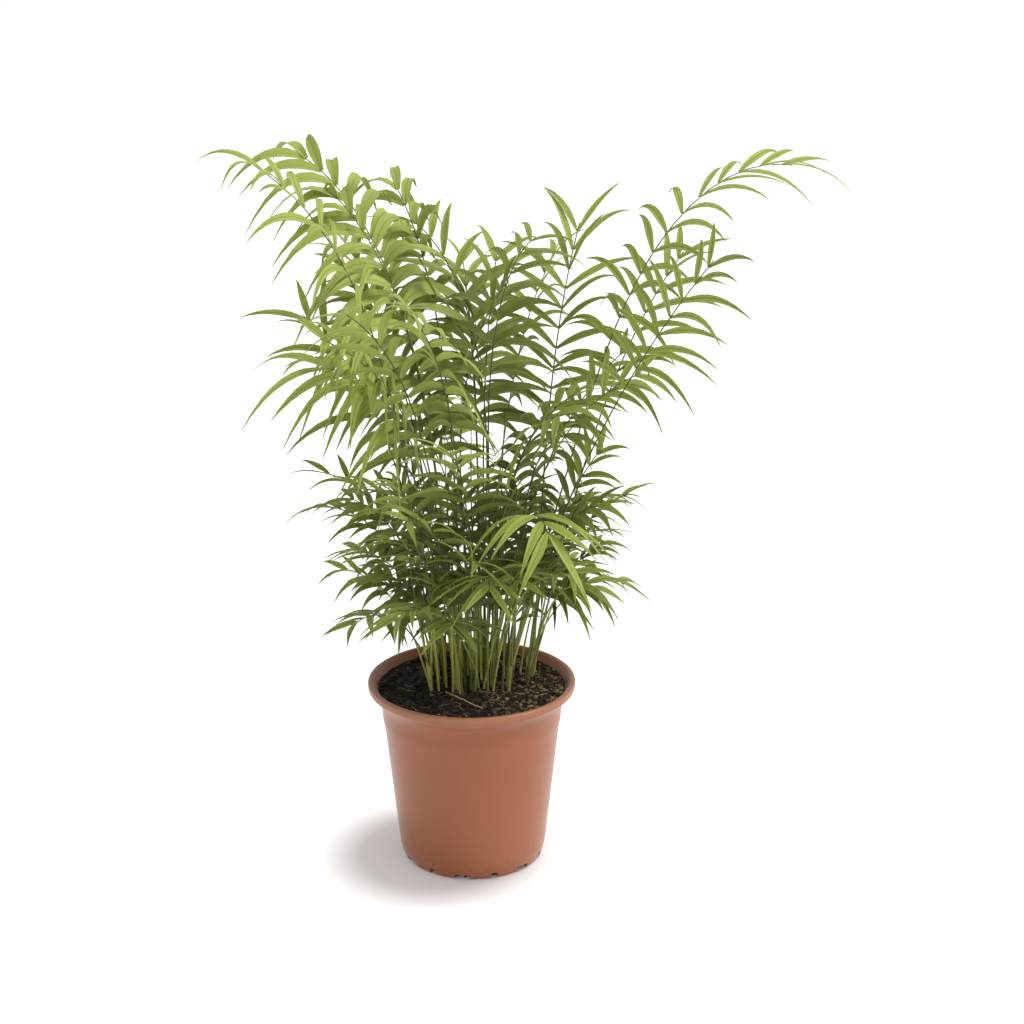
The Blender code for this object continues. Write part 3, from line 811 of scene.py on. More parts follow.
FRONDS = tuple(FrondSize(*row) for row in (
    # tall fronds that make the outline, right then left
    (11, 15, 16, 85, 4.6, 480, 0.53, 18, 12, 70, 6.4, 0.50),
    (10, -12, 15, 23, 1.4, 366, 0.66, 50, 8, 68, 5.6, 0.35),
    (12, 60, 5, 25, 2.6, 352, 0.49, 0, 11, 82, 6.0, 0.25),
    (4, 152, 8, 57, 3.5, 422, 0.47, -32, 13, 94, 11.5, 1.05),
    (1, 195, 9, 49, 3.8, 419, 0.48, -20, 11, 100, 7.0, 0.75),
    (2, 165, 2, 30, 1.9, 322, 0.49, -35, 10, 70, 6.0, 0.45),
    (0, 190, -2, 83, 3.0, 283, 0.69, -20, 6, 98, 8.6, 0.70),
    # low fronds at the two sides
    (12, 20, 5, 35, 1.5, 176, 0.57, 40, 7, 48, 5.6, 0.30),
    (13, -30, 8, 72, 3.3, 165, 0.58, 30, 7, 46, 6.0, 0.35),
    (13, -5, 16, 119, 3.5, 96, 0.58, 30, 6, 38, 5.6, 0.50),
    (2, 180, 6, 22, 2.6, 150, 0.57, -30, 7, 38, 5.6, 0.35),
    (0, 190, 5, 75, 2.8, 92, 0.59, -40, 6, 38, 5.6, 0.45),
    (1, 200, 9, 150, 2.6, 74, 0.55, -30, 5, 34, 6.0, 0.45),
    # upright fronds of the crown
    (6, 130, -6, 79, 2.7, 368, 0.55, -30, 8, 70, 7.5, 0.35),
    (7, 80, -4, 52, 2.5, 329, 0.53, 10, 8, 70, 7.5, 0.35),
    (9, 60, -3, 83, 4.2, 350, 0.60, 20, 7, 66, 6.2, 0.50),
    # broad young fronds leaning to the front
    (3, 236, 7, 55, 2.6, 330, 0.50, 30, 9, 66, 8.6, 0.60),
    (5, 256, 4, 62, 2.8, 350, 0.58, -28, 9, 62, 8.6, 0.65),
    (8, 296, 8, 70, 2.5, 266, 0.58, 30, 7, 54, 7.4, 0.60),
    (10, 285, 6, 120, 2.6, 212, 0.69, 0, 5, 62, 7.6, 0.60),
    (5, 250, 12, 60, 2.4, 242, 0.56, 0, 7, 62, 6.8, 0.35),
    # tall fronds behind
    (7, 100, 6, 45, 2.5, 330, 0.52, 25, 8, 66, 6.4, 0.45),
    (2, 128, 10, 50, 2.6, 365, 0.49, 10, 10, 80, 7.5, 0.60),
    (7, 62, 9, 50, 2.6, 345, 0.53, -25, 8, 66, 6.0, 0.40),
    (6, 100, -2, 60, 3.0, 300, 0.55, 30, 8, 62, 6.6, 0.50),
    (2, 165, 8, 45, 2.4, 299, 0.50, -20, 8, 76, 6.8, 0.35),
    (12, 40, 16, 30, 2.2, 354, 0.59, 20, 8, 74, 6.4, 0.35),
    # middle fronds that fill the clump
    (9, 20, 13, 40, 2.2, 262, 0.62, 30, 6, 50, 5.6, 0.50),
    (4, 222, 8, 60, 2.5, 296, 0.57, -30, 8, 62, 7.0, 0.60),
    (9, 345, 11, 55, 2.4, 262, 0.60, 35, 7, 54, 6.2, 0.45),
    (6, 318, 5, 48, 2.5, 300, 0.58, 40, 8, 54, 7.0, 0.60),
    (7, 110, 25, 60, 2.2, 264, 0.56, 0, 7, 62, 6.8, 0.40),
    # low skirt round the rest of the clump
    (2, 150, 30, 80, 2.2, 120, 0.58, 0, 7, 38, 6.0, 0.40),
    (13, 25, 30, 90, 2.2, 112, 0.60, 0, 6, 38, 5.6, 0.40),
    (9, 50, 30, 80, 2.2, 165, 0.57, 0, 7, 44, 6.0, 0.40),
    (5, 230, 26, 90, 2.2, 125, 0.58, 0, 6, 38, 6.0, 0.40),
    (0, 225, 28, 85, 2.2, 105, 0.60, 0, 6, 36, 6.0, 0.40),
    (1, 165, 20, 60, 2.2, 150, 0.57, -20, 7, 42, 6.0, 0.40),
    # fronds that thicken the left crown and the right of the middle
    (1, 150, 7, 50, 3.0, 394, 0.48, -38, 12, 86, 10.5, 1.05),
    (2, 140, 4, 45, 3.0, 379, 0.50, -34, 12, 82, 10.0, 1.05),
    (8, 320, 4, 60, 2.4, 249, 0.48, 0, 9, 60, 7.0, 0.45),
    (9, 290, 3, 65, 2.2, 236, 0.52, 30, 9, 44, 6.4, 0.60),
))
YOUNG_FRONDS = (20,)
# Fronds painted darker all over, as painted shade inside the clump.
SHADE_DARKENED_FRONDS = (16, 19, 31, 41, 42)


class Spine:
    """Midline of a frond, from its seat on the cane to the last leaflet."""

    def __init__(self, seat: Vector, size: FrondSize, turn: float, tip: float,
                 scale: float) -> None:
        """Bends the midline.

        Args:
            seat: Where it starts.
            size: The frond's row.
            turn: Degrees that its heading is turned by.
            tip: Degrees that it leans further by.
            scale: Share of its full length.
        """
        self.length = size.length * MM * scale
        self.roll = math.radians(size.roll)
        self.points = [seat.copy()]
        self.tangents: list[Vector] = []
        azimuth = size.azimuth + turn
        self.side = heading(azimuth + 90)
        for step in range(SPINE_STEPS):
            share = (step + 0.5) / SPINE_STEPS
            tilt = math.radians(size.lean + tip + size.bend * share ** size.power)
            way = heading(azimuth) * math.sin(tilt) + Vector((0, 0, math.cos(tilt)))
            self.tangents.append(way)
            self.points.append(self.points[-1] + way * self.length / SPINE_STEPS)

    def at(self, share: float) -> tuple[Vector, Vector, Vector, Vector]:
        """Point, tangent, side and face of the blade at a share of the length.

        Args:
            share: Share of the length, from 0 to 1.

        Returns:
            The point, tangent, side and face.
        """
        place = clamped(share) * SPINE_STEPS
        index = min(int(place), SPINE_STEPS - 1)
        point = self.points[index].lerp(self.points[index + 1], place - index)
        near = self.tangents[max(index - 1, 0)] if place - index < 0.5 else self.tangents[index]
        after = self.tangents[min(index + 1, SPINE_STEPS - 1)]
        mixing = (place - index + 0.5) % 1.0
        other = self.tangents[index] if place - index < 0.5 else after
        tangent = near.lerp(other, mixing).normalized()
        face = tangent.cross(self.side)
        side = self.side * math.cos(self.roll) + face * math.sin(self.roll)
        return point, tangent, side, tangent.cross(side)


@dataclass
class Leaflet:
    """One leaflet: a narrow blade that arches away from the midrib."""

    root: Vector
    midrib: Vector
    way: Vector
    length: float
    width: float
    droop: float
    hand: int
    across: Vector = field(init=False)

    def __post_init__(self) -> None:
        """Works out the direction across the blade."""
        self.across = (self.midrib - self.way * self.midrib.dot(self.way)).normalized()

    def section(self, share: float) -> tuple[Vector, Vector, Vector, float]:
        """Centre, across, face and half width at a share of the length.

        Args:
            share: Share of the length, from 0 to 1.

        Returns:
            The centre, across, face and half width.
        """
        sag = Vector((0, 0, -1)) * self.droop * self.length
        centre = self.root + self.way * self.length * share + sag * share * share
        along = (self.way * self.length + sag * 2 * share).normalized()
        across = (self.across - along * self.across.dot(along)).normalized()
        if share < 0.4:
            half = self.width * (0.22 + 0.28 * math.sin(share / 0.4 * math.pi / 2))
        else:
            half = self.width * 0.5 * (1 - ((share - 0.4) / 0.6) ** 1.7)
        return centre, across, along.cross(across), half

    def sections(self) -> list[Section]:
        """Cross-sections of the blade for the clearance test.

        Returns:
            The cross-sections.
        """
        thick = STALK_THICKNESS * LEAFLET_THICKNESS_SHARE / 2
        face = self.way.cross(self.midrib).normalized()
        shares = LONG_LEAFLET_SECTIONS if self.length > LONG_LEAFLET else SHORT_LEAFLET_SECTIONS
        found = [(self.root, self.midrib, face, LEAFLET_ROOT / 2, thick)]
        for share in (*shares, 1.0):
            centre, across, blade_face, half = self.section(share)
            found.append((centre, across, blade_face, half, thick))
        return found


def sleeve(sections: Sequence[Section], margin: float) -> Hull:
    """Closed four-sided sleeve round cross-sections.

    Args:
        sections: Centre, across, face, half width and half thickness of each.
        margin: Clearance added all round.

    Returns:
        Its points and faces.
    """
    points: list[Vector] = []
    for centre, across, face, wide, thick in sections:
        out = across * (wide + margin)
        up = face * (thick + margin)
        points += [centre - out - up, centre + out - up, centre + out + up, centre - out + up]
    faces: list[tuple[int, ...]] = [(3, 2, 1, 0)]
    for ring in range(len(sections) - 1):
        low = ring * 4
        for corner in range(4):
            turn = (corner + 1) % 4
            faces.append((low + corner, low + turn, low + 4 + turn, low + 4 + corner))
    last = len(points) - 4
    faces.append((last, last + 1, last + 2, last + 3))
    return points, faces


class Thicket:
    """Everything grown so far, asked whether a new blade would cross it."""

    def __init__(self) -> None:
        """Starts empty."""
        self.trees: list[BVHTree] = []

    def is_clear(self, sections: Sequence[Section], gap: float) -> bool:
        """Whether a blade or stalk keeps the gap to everything already grown.

        Args:
            sections: The cross-sections of the blade or stalk.
            gap: The gap to keep.

        Returns:
            True if it keeps the gap.
        """
        points, faces = sleeve(sections, gap)
        tree = BVHTree.FromPolygons(points, faces)
        return not any(tree.overlap(other) for other in self.trees)

    def grow(self, hulls: Iterable[Hull]) -> None:
        """Adds grown pieces.

        Args:
            hulls: The pieces.
        """
        points: list[Vector] = []
        faces: list[tuple[int, ...]] = []
        for hull_points, hull_faces in hulls:
            shift = len(points)
            points += hull_points
            faces += [tuple(index + shift for index in face) for face in hull_faces]
        self.trees.append(BVHTree.FromPolygons(points, faces))


def stalk_half_width(share: float) -> float:
    """Half width of stalk and midrib at a share of the length."""
    return STALK_THICKNESS / 2 * (1 - (1 - RACHIS_TIP_SHARE) * share)


def stalk_sections(spine: Spine, shares: Iterable[float]) -> list[Section]:
    """Cross-sections of stalk and midrib at the given shares of the length.

    Args:
        spine: The frond's spine.
        shares: Shares of its length.

    Returns:
        The cross-sections.
    """
    sections: list[Section] = []
    for share in shares:
        point, _tangent, side, face = spine.at(share)
        half = stalk_half_width(share)
        sections.append((point, side, face, half, half))
    return sections


def pair_share(size: FrondSize, pair: int) -> float:
    """Share of the frond's length at the middle of a pair's root."""
    return size.stalk_share + (1 - size.stalk_share) * (pair + 0.6) / size.pairs


def rib_shares(size: FrondSize, length: float) -> list[float]:
    """Shares of the length where the CAD's stalk or midrib has a cross-section.

    Args:
        size: The frond's sizes.
        length: The spine's length.

    Returns:
        The shares, in rising order.
    """
    shares = [0.0] + [step * size.stalk_share for step in STALK_STEPS]
    half = LEAFLET_ROOT / length / 2
    for pair in range(size.pairs):
        middle = pair_share(size, pair)
        shares += [middle - half, middle + half]
    return shares + [1.0]


def find_path(size: FrondSize, seats: Sequence[Vector], thicket: Thicket) -> Spine | None:
    """The first spine from the seats that keeps clear, tried from the least change up.

    Args:
        size: The frond's sizes.
        seats: The seats to try.
        thicket: What has already grown.

    Returns:
        The spine, or None if none keeps clear.
    """
    for (turn, tip, scale), seat in itertools.product(SPINE_CHANGES, seats):
        spine = Spine(seat, size, turn, tip, scale)
        if thicket.is_clear(stalk_sections(spine, rib_shares(size, spine.length)), STALK_GAP):
            return spine
    return None


@dataclass
class GrownFrond:
    """One feather leaf grown into the free space of the thicket."""

    number: int
    size: FrondSize
    spine: Spine
    pairs: list[list[Leaflet | None]] = field(default_factory=list)

    def grow(self, thicket: Thicket) -> None:
        """Grows the leaflets pair by pair and joins the thicket.

        Args:
            thicket: What has already grown.
        """
        chance = random.Random(self.number)
        shares = rib_shares(self.size, self.spine.length)
        hulls = [sleeve(stalk_sections(self.spine, shares), 0)]
        for pair in range(self.size.pairs):
            self.pairs.append([self.grow_leaflet(pair, hand, chance, thicket, hulls)
                               for hand in (1, -1)])
        thicket.grow(hulls)

    def grow_leaflet(self, pair: int, hand: int, chance: random.Random, thicket: Thicket,
                     hulls: list[Hull]) -> Leaflet | None:
        """The leaflet of a pair that stays clear of everything, or None.

        Args:
            pair: Number of the pair from the root up.
            hand: 1 for one side and -1 for the other.
            chance: The frond's own chance.
            thicket: What is already grown.
            hulls: The frond's own sleeves, which the new one joins.

        Returns:
            The leaflet, or None.
        """
        size = self.size
        along = (pair + 0.5) / size.pairs
        share = pair_share(size, pair)
        point, tangent, side, face = self.spine.at(share)
        sweep_angle = SWEEP_AT_FOOT - SWEEP_LOSS * along + chance.uniform(-10, 10)
        lift = LEAFLET_LIFT + chance.uniform(-14, 14)
        tip_loss = YOUNG_TIP_LOSS if size.pairs <= YOUNG_PAIRS else TIP_LOSS
        part = 0.72 + 0.28 * math.sin(math.pi * min(0.6, 0.1 + along)) - tip_loss * along ** 3
        length = size.leaflet_length * MM * part * chance.uniform(0.86, 1.1)
        width = size.leaflet_width * MM * (0.7 + 0.3 * part)
        droop = size.droop * (1.1 - 0.5 * along) * chance.uniform(0.7, 1.35)
        root = point + side * hand * stalk_half_width(share)
        for rise, turn, scale in LEAFLET_CHANGES:
            turned_by = math.radians(sweep_angle + turn)
            lifted_by = math.radians(lift + rise)
            out = tangent * math.cos(turned_by) + side * hand * math.sin(turned_by)
            way = (out * math.cos(lifted_by) + face * math.sin(lifted_by)).normalized()
            leaflet = Leaflet(root, tangent, way, length * scale, width * scale ** 0.5, droop,
                              hand)
            sections = leaflet.sections()
            if thicket.is_clear(sections, LEAF_GAP):
                hulls.append(sleeve(sections, 0))
                return leaflet
        return None


@dataclass
class Plant:
    """Canes and fronds of the whole clump."""

    thicket: Thicket = field(default_factory=Thicket)
    taken: list[Vector] = field(default_factory=list)
    seats_of: dict[int, list[Vector]] = field(default_factory=dict)
    fronds: list[GrownFrond] = field(default_factory=list)

    def grow(self) -> None:
        """Canes first, then the fronds in the order of the table."""
        self.thicket.grow([self.pot_hull()])
        across = Vector((1, 0, 0))
        face = Vector((0, 1, 0))
        for cane in CANES:
            foot, _direction, top, tip = cane.line()
            lower = [(foot, across, face, CANE_RADIUS, CANE_RADIUS),
                     (top, across, face, CANE_TOP_RADIUS, CANE_TOP_RADIUS)]
            upper = [(top, across, face, SPEAR_RADIUS, SPEAR_RADIUS),
                     (tip, across, face, SPEAR_RADIUS, SPEAR_RADIUS)]
            self.thicket.grow([sleeve(lower, 0), sleeve(upper, 0)])
        for number, size in enumerate(FRONDS, start=1):
            self.grow_frond(number, size)

    def grow_frond(self, number: int, size: FrondSize) -> None:
        """Grows a frond on its own cane, or on the nearest cane with a free seat for it.

        Args:
            number: The frond's number.
            size: Its sizes.
        """
        way_out = size.azimuth if size.lean >= 0 else size.azimuth + 180
        own = CANES[size.cane]
        home = Vector((own.across, own.back))
        nearest = sorted(range(len(CANES)), key=lambda other: (
            Vector((CANES[other].across, CANES[other].back)) - home).length)
        for cane in nearest:
            free = [seat for seat in CANES[cane].seats(way_out) if seat not in self.taken]
            spine = find_path(size, free, self.thicket)
            if spine is not None:
                self.taken.append(spine.points[0])
                self.seats_of.setdefault(cane, []).append(spine.points[0])
                frond = GrownFrond(number, size, spine)
                frond.grow(self.thicket)
                self.fronds.append(frond)
                return
        raise RuntimeError(f"frond {number} finds no free seat")

    @staticmethod
    def pot_hull() -> Hull:
        """Closed ring and disc that stand for the pot's rim and the soil.

        Returns:
            The ring and disc as one hull.
        """
        outline = ((0.0, SOIL_TOP + SOIL_LUMPS), (RIM_RADIUS - 10 * MM, SOIL_TOP + SOIL_LUMPS),
                   (RIM_RADIUS - 6 * MM, POT_HEIGHT), (RIM_RADIUS, POT_HEIGHT),
                   (RIM_RADIUS, POT_HEIGHT - RIM_DEPTH), (COLLAR_RADIUS, COLLAR_BOTTOM),
                   (BASE_RADIUS, 0.0))
        count = 24
        points = [Vector((heading(360 * step / count).x * radius,
                          heading(360 * step / count).y * radius, height))
                  for radius, height in outline for step in range(count)]
        faces: list[tuple[int, ...]] = []
        for row in range(len(outline) - 1):
            for step in range(count):
                after = (step + 1) % count
                low = row * count
                faces.append((low + step, low + count + step, low + count + after, low + after))
        return points, faces


# ------------------------------------------------------------------ leaves

@dataclass(frozen=True)
class BladeCut:
    """How a leaflet's blade is cut, folded and curled."""

    rows: int = 8
    widest: float = 0.34
    root_share: float = 0.34
    taper: float = 1.45
    point: float = 0.10 * MM
    fold: float = 0.28
    thickness: float = 0.35 * MM
    twist_degrees: float = 26.0
    bow: float = 0.045

    def half_width(self, width: float, share: float) -> float:
        """Half width of the blade at a share of its length.

        Args:
            width: The leaflet's full width.
            share: Share of its length.

        Returns:
            Half the width there.
        """
        if share < self.widest:
            rise = math.sin(share / self.widest * math.pi / 2)
            return width / 2 * (self.root_share + (1 - self.root_share) * rise)
        fall = (share - self.widest) / (1 - self.widest)
        return max(width / 2 * (1 - fall ** self.taper), self.point)


@dataclass
class LeafMaker:
    """Makes every frond: a tapered stalk and midrib with creased, curling leaflets."""

    plant: Plant
    leaf: bpy.types.Material
    stem: bpy.types.Material
    cut: BladeCut = field(default_factory=BladeCut)
    stalk_sides: int = 7
    stalk_rings: int = 26
    stalk_radius: float = 0.9 * MM
    tip_radius: float = 0.46 * MM
    foot_flare: float = 0.15 * MM
    painted_light_heights: tuple[float, float] = (0.16, 0.52)

    def build(self) -> None:
        """Builds a piece for each grown frond."""
        for frond in self.plant.fronds:
            thing = self.build_frond(frond)
            node = f"frond_{frond.number:02d}"
            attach(thing, "root")
            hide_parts(node)
            self.compare(thing, node)
            report(thing)

    def build_frond(self, frond: GrownFrond, foot_depth: float = 0.0) -> bpy.types.Object:
        """Builds one frond.

        Args:
            frond: The grown frond.
            foot_depth: How far its stalk goes down below its seat.

        Returns:
            The piece.
        """
        chance = random.Random(1000 + frond.number)
        mesh = bmesh.new()
        mesh.loops.layers.uv.new("blade")
        note = mesh.verts.layers.float_color.new("growth")
        frond_tone = chance.uniform(-0.2, 0.2)
        youth = chance.uniform(0.0, 0.2)
        if frond.number in YOUNG_FRONDS:
            youth = 0.75
        # Listed fronds are painted darker all over, as painted shade.
        elif frond.number in SHADE_DARKENED_FRONDS:
            frond_tone -= 0.3
        for leaflet in itertools.chain.from_iterable(frond.pairs):
            if leaflet is not None:
                verts = self.lay_blade(mesh, leaflet, chance)
                tone = clamped(0.5 + frond_tone + chance.uniform(-0.22, 0.22))
                # The leaflet's height within these bounds is stored for painted light: higher
                # leaves are painted lighter.
                low, high = self.painted_light_heights
                height = clamped((leaflet.root.z - low) / (high - low))
                for vert in verts:
                    vert[note] = (tone, youth, height, 1.0)
        bmesh.ops.recalc_face_normals(mesh, faces=mesh.faces)
        bmesh.ops.solidify(mesh, geom=mesh.faces[:], thickness=self.cut.thickness)
        blades = set(mesh.faces)
        for vert in self.grow_stalk(mesh, frond, foot_depth):
            vert[note] = (0.5 + frond_tone * 1.4, youth, 0.5, 1.0)
        for face in mesh.faces:
            if face not in blades:
                face.material_index = 1
        bmesh.ops.recalc_face_normals(mesh, faces=mesh.faces)
        return finished(f"palm_frond_{frond.number:02d}", mesh, (self.leaf, self.stem), 50.0)

    def lay_blade(self, mesh: BMesh, leaflet: Leaflet, chance: random.Random) -> list[BMVert]:
        """Lays a creased strip along a leaflet.

        Args:
            mesh: The frond's mesh.
            leaflet: The leaflet.
            chance: The frond's own chance.

        Returns:
            The strip's vertices.
        """
        twist = math.radians(chance.uniform(-1, 1) * self.cut.twist_degrees)
        bow = chance.uniform(0.2, 1.0) * self.cut.bow
        curl = chance.uniform(0.02, 0.10)
        verts = bmesh.ops.create_grid(mesh, x_segments=2, y_segments=self.cut.rows, size=1.0,
                                      calc_uvs=True)["verts"]
        for vert in verts:
            sideways = vert.co.x
            share = (vert.co.y + 1) / 2
            centre, across, face, _half = leaflet.section(share)
            up = face * -leaflet.hand
            turn = twist * share
            flat = across * math.cos(turn) + up * math.sin(turn)
            crease = up * math.cos(turn) - across * math.sin(turn)
            half = self.cut.half_width(leaflet.width, share)
            lean = flat * leaflet.length * bow * math.sin(math.pi * share)
            drop = Vector((0.0, 0.0, -1.0)) * leaflet.length * curl * share ** 4
            vert.co = (centre + lean + drop + flat * half * sideways
                       + crease * half * self.cut.fold * abs(sideways))
        return verts

    def grow_stalk(self, mesh: BMesh, frond: GrownFrond, foot_depth: float) -> list[BMVert]:
        """Grows the stalk and midrib as one tapered tube.

        Args:
            mesh: The frond's mesh.
            frond: The grown frond.
            foot_depth: How far it goes down below its seat.

        Returns:
            The tube's vertices.
        """
        rings = []
        for step in range(self.stalk_rings + 1):
            share = step / self.stalk_rings
            point, _tangent, side, face = frond.spine.at(share)
            radius = self.stalk_radius + (self.tip_radius - self.stalk_radius) * share
            radius += self.foot_flare * max(0.0, 1 - share * 12)
            rings.append(Ring(point, side, face, radius, radius * 0.9))
        if foot_depth > 0:
            first = rings[0]
            rings.insert(0, Ring(first.centre - UP * foot_depth, first.across, first.face,
                                 first.wide, first.thick))
        return sweep(mesh, rings, self.stalk_sides)

    @staticmethod
    def compare(thing: bpy.types.Object, node: str) -> None:
        """Warns if a frond has left the place of its solid.

        Args:
            thing: The frond's piece.
            node: Its solid's node.
        """
        low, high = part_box(node)
        corners = [Vector(corner) for corner in thing.bound_box]
        for axis in range(3):
            lowest = min(corner[axis] for corner in corners)
            highest = max(corner[axis] for corner in corners)
            if max(abs(lowest - low[axis]), abs(highest - high[axis])) > PLACE_TOLERANCE:
                LOG.warning("%s leaves its solid on axis %d: %.1f and %.1f mm", node, axis,
                            (lowest - low[axis]) / MM, (highest - high[axis]) / MM)


# ------------------------------------------------------------------ stems

@dataclass
class StemMaker:
    """Makes the sheathed stems, each with its leaf bases and its unopened leaf."""

    plant: Plant
    stem: bpy.types.Material
    sides: int = 9
    base_radius: float = 1.1 * MM
    waist_radius: float = 1.0 * MM
    sheath_radius: float = 0.72 * MM
    spear_steps: int = 14

    def build(self) -> None:
        """Builds a piece for each cane."""
        for index, cane in enumerate(CANES):
            thing = self.build_stem(index, cane)
            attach(thing, "root")
            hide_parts(f"cane_{index + 1:02d}")
            report(thing)

    def build_stem(self, index: int, cane: CaneSize) -> bpy.types.Object:
        """Builds one stem.

        Args:
            index: Its place in the table.
            cane: Its sizes.

        Returns:
            The piece.
        """
        chance = random.Random(2000 + index)
        mesh = bmesh.new()
        note = mesh.verts.layers.float_color.new("growth")
        foot, direction, top, tip = cane.line()
        buried = foot - direction * (PLANTING_DEPTH - CANE_CLEARANCE)
        neck = foot.lerp(top, 0.9)
        line = [buried, foot, foot.lerp(top, 0.3), foot.lerp(top, 0.6), neck, top]
        radii = [self.base_radius, self.base_radius * 1.15, self.base_radius,
                 self.waist_radius, self.sheath_radius, SPEAR_RADIUS]
        parts = [sweep(mesh, rings_along(line, radii), self.sides)]
        for seat in self.plant.seats_of.get(index, []):
            parts.append(self.grow_sheath(mesh, foot, top, direction, seat))
        parts.append(self.grow_spear(mesh, top, tip, chance))
        for part in parts:
            tone = chance.uniform(0.2, 0.8)
            for vert in part:
                vert[note] = (tone, 0.0, 0.0, 1.0)
        bmesh.ops.recalc_face_normals(mesh, faces=mesh.faces)
        return finished(f"palm_stem_{index + 1:02d}", mesh, (self.stem,), SHARP_STRAND)

    def grow_sheath(self, mesh: BMesh, foot: Vector, top: Vector, direction: Vector,
                    seat: Vector) -> list[BMVert]:
        """Grows a leaf base from the foot of the stem out to a leaf's seat.

        Args:
            mesh: The stem's mesh.
            foot: Foot of the stem.
            top: Top of the stem.
            direction: The stem's direction.
            seat: Where the leaf's stalk starts.

        Returns:
            The leaf base's vertices.
        """
        outward = (seat - top) - direction * (seat - top).dot(direction)
        line = []
        radii = []
        for step in range(9):
            share = step / 8
            middle = (foot - direction * 3 * MM).lerp(seat - outward, share)
            line.append(middle + outward * (0.35 + 0.65 * share ** 1.6))
            radii.append(self.sheath_radius * (1.15 - 0.12 * share))
        return sweep(mesh, rings_along(line, radii), self.sides - 2)

    def grow_spear(self, mesh: BMesh, top: Vector, tip: Vector,
                   chance: random.Random) -> list[BMVert]:
        """Grows the unopened leaf: a thin folded blade that sways a little.

        Args:
            mesh: The stem's mesh.
            top: Top of the stem.
            tip: Tip of the unopened leaf.
            chance: The stem's own chance.

        Returns:
            Its vertices.
        """
        sway = heading(chance.uniform(0, 360)) * (tip - top).length * 0.012
        line = []
        radii = []
        for step in range(self.spear_steps + 1):
            share = step / self.spear_steps
            line.append(top.lerp(tip, share) + sway * math.sin(math.pi * share))
            radii.append(SPEAR_RADIUS * (1.25 * (1 - share) ** 0.6 + 0.18))
        return sweep(mesh, rings_along(line, radii, 0.7), 6)


# ------------------------------------------------------------------ young shoots

@dataclass
class ShootMaker:
    """Grows the small young leaves that come straight out of the soil among the stems."""

    leaves: LeafMaker
    count: int = 68
    spread: tuple[float, float] = (47 * MM, 35 * MM)
    length: tuple[float, float] = (95.0, 235.0)
    foot_depth: float = 8 * MM

    def build(self) -> None:
        """Builds a piece for each shoot that finds room."""
        chance = random.Random(31)
        for number in range(1, self.count + 1):
            size, seat = self.draw(chance)
            spine = find_path(size, [seat], self.leaves.plant.thicket)
            if spine is None:
                LOG.info("young shoot %d finds no room", number)
                continue
            frond = GrownFrond(100 + number, size, spine)
            frond.grow(self.leaves.plant.thicket)
            thing = self.leaves.build_frond(frond, self.foot_depth)
            thing.name = f"young_shoot_{number:02d}"
            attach(thing, "root")
            report(thing)

    def draw(self, chance: random.Random) -> tuple[FrondSize, Vector]:
        """Draws the size and place of one shoot.

        Args:
            chance: The source of chance.

        Returns:
            Its size and where it leaves the soil.
        """
        reach = math.sqrt(chance.random())
        turn = chance.uniform(0, 360)
        way = heading(turn)
        seat = Vector((CLUMP_CENTRE.x + way.x * reach * self.spread[0],
                       CLUMP_CENTRE.y + way.y * reach * self.spread[1], SOIL_TOP + 2.2 * MM))
        tall = chance.random()
        length = self.length[0] + (self.length[1] - self.length[0]) * tall
        size = FrondSize(
            cane=0, azimuth=turn + chance.uniform(-50, 50), lean=2 + 18 * reach * (1 - 0.5 * tall),
            bend=chance.uniform(45, 105), power=chance.uniform(2.0, 3.2), length=length,
            stalk_share=chance.uniform(0.42, 0.56), roll=chance.uniform(-25, 25),
            pairs=chance.choice((6, 7, 7, 8)), leaflet_length=chance.uniform(40, 56),
            leaflet_width=chance.uniform(5.0, 6.6), droop=chance.uniform(0.3, 0.6))
        return size, seat


# ------------------------------------------------------------------ pot

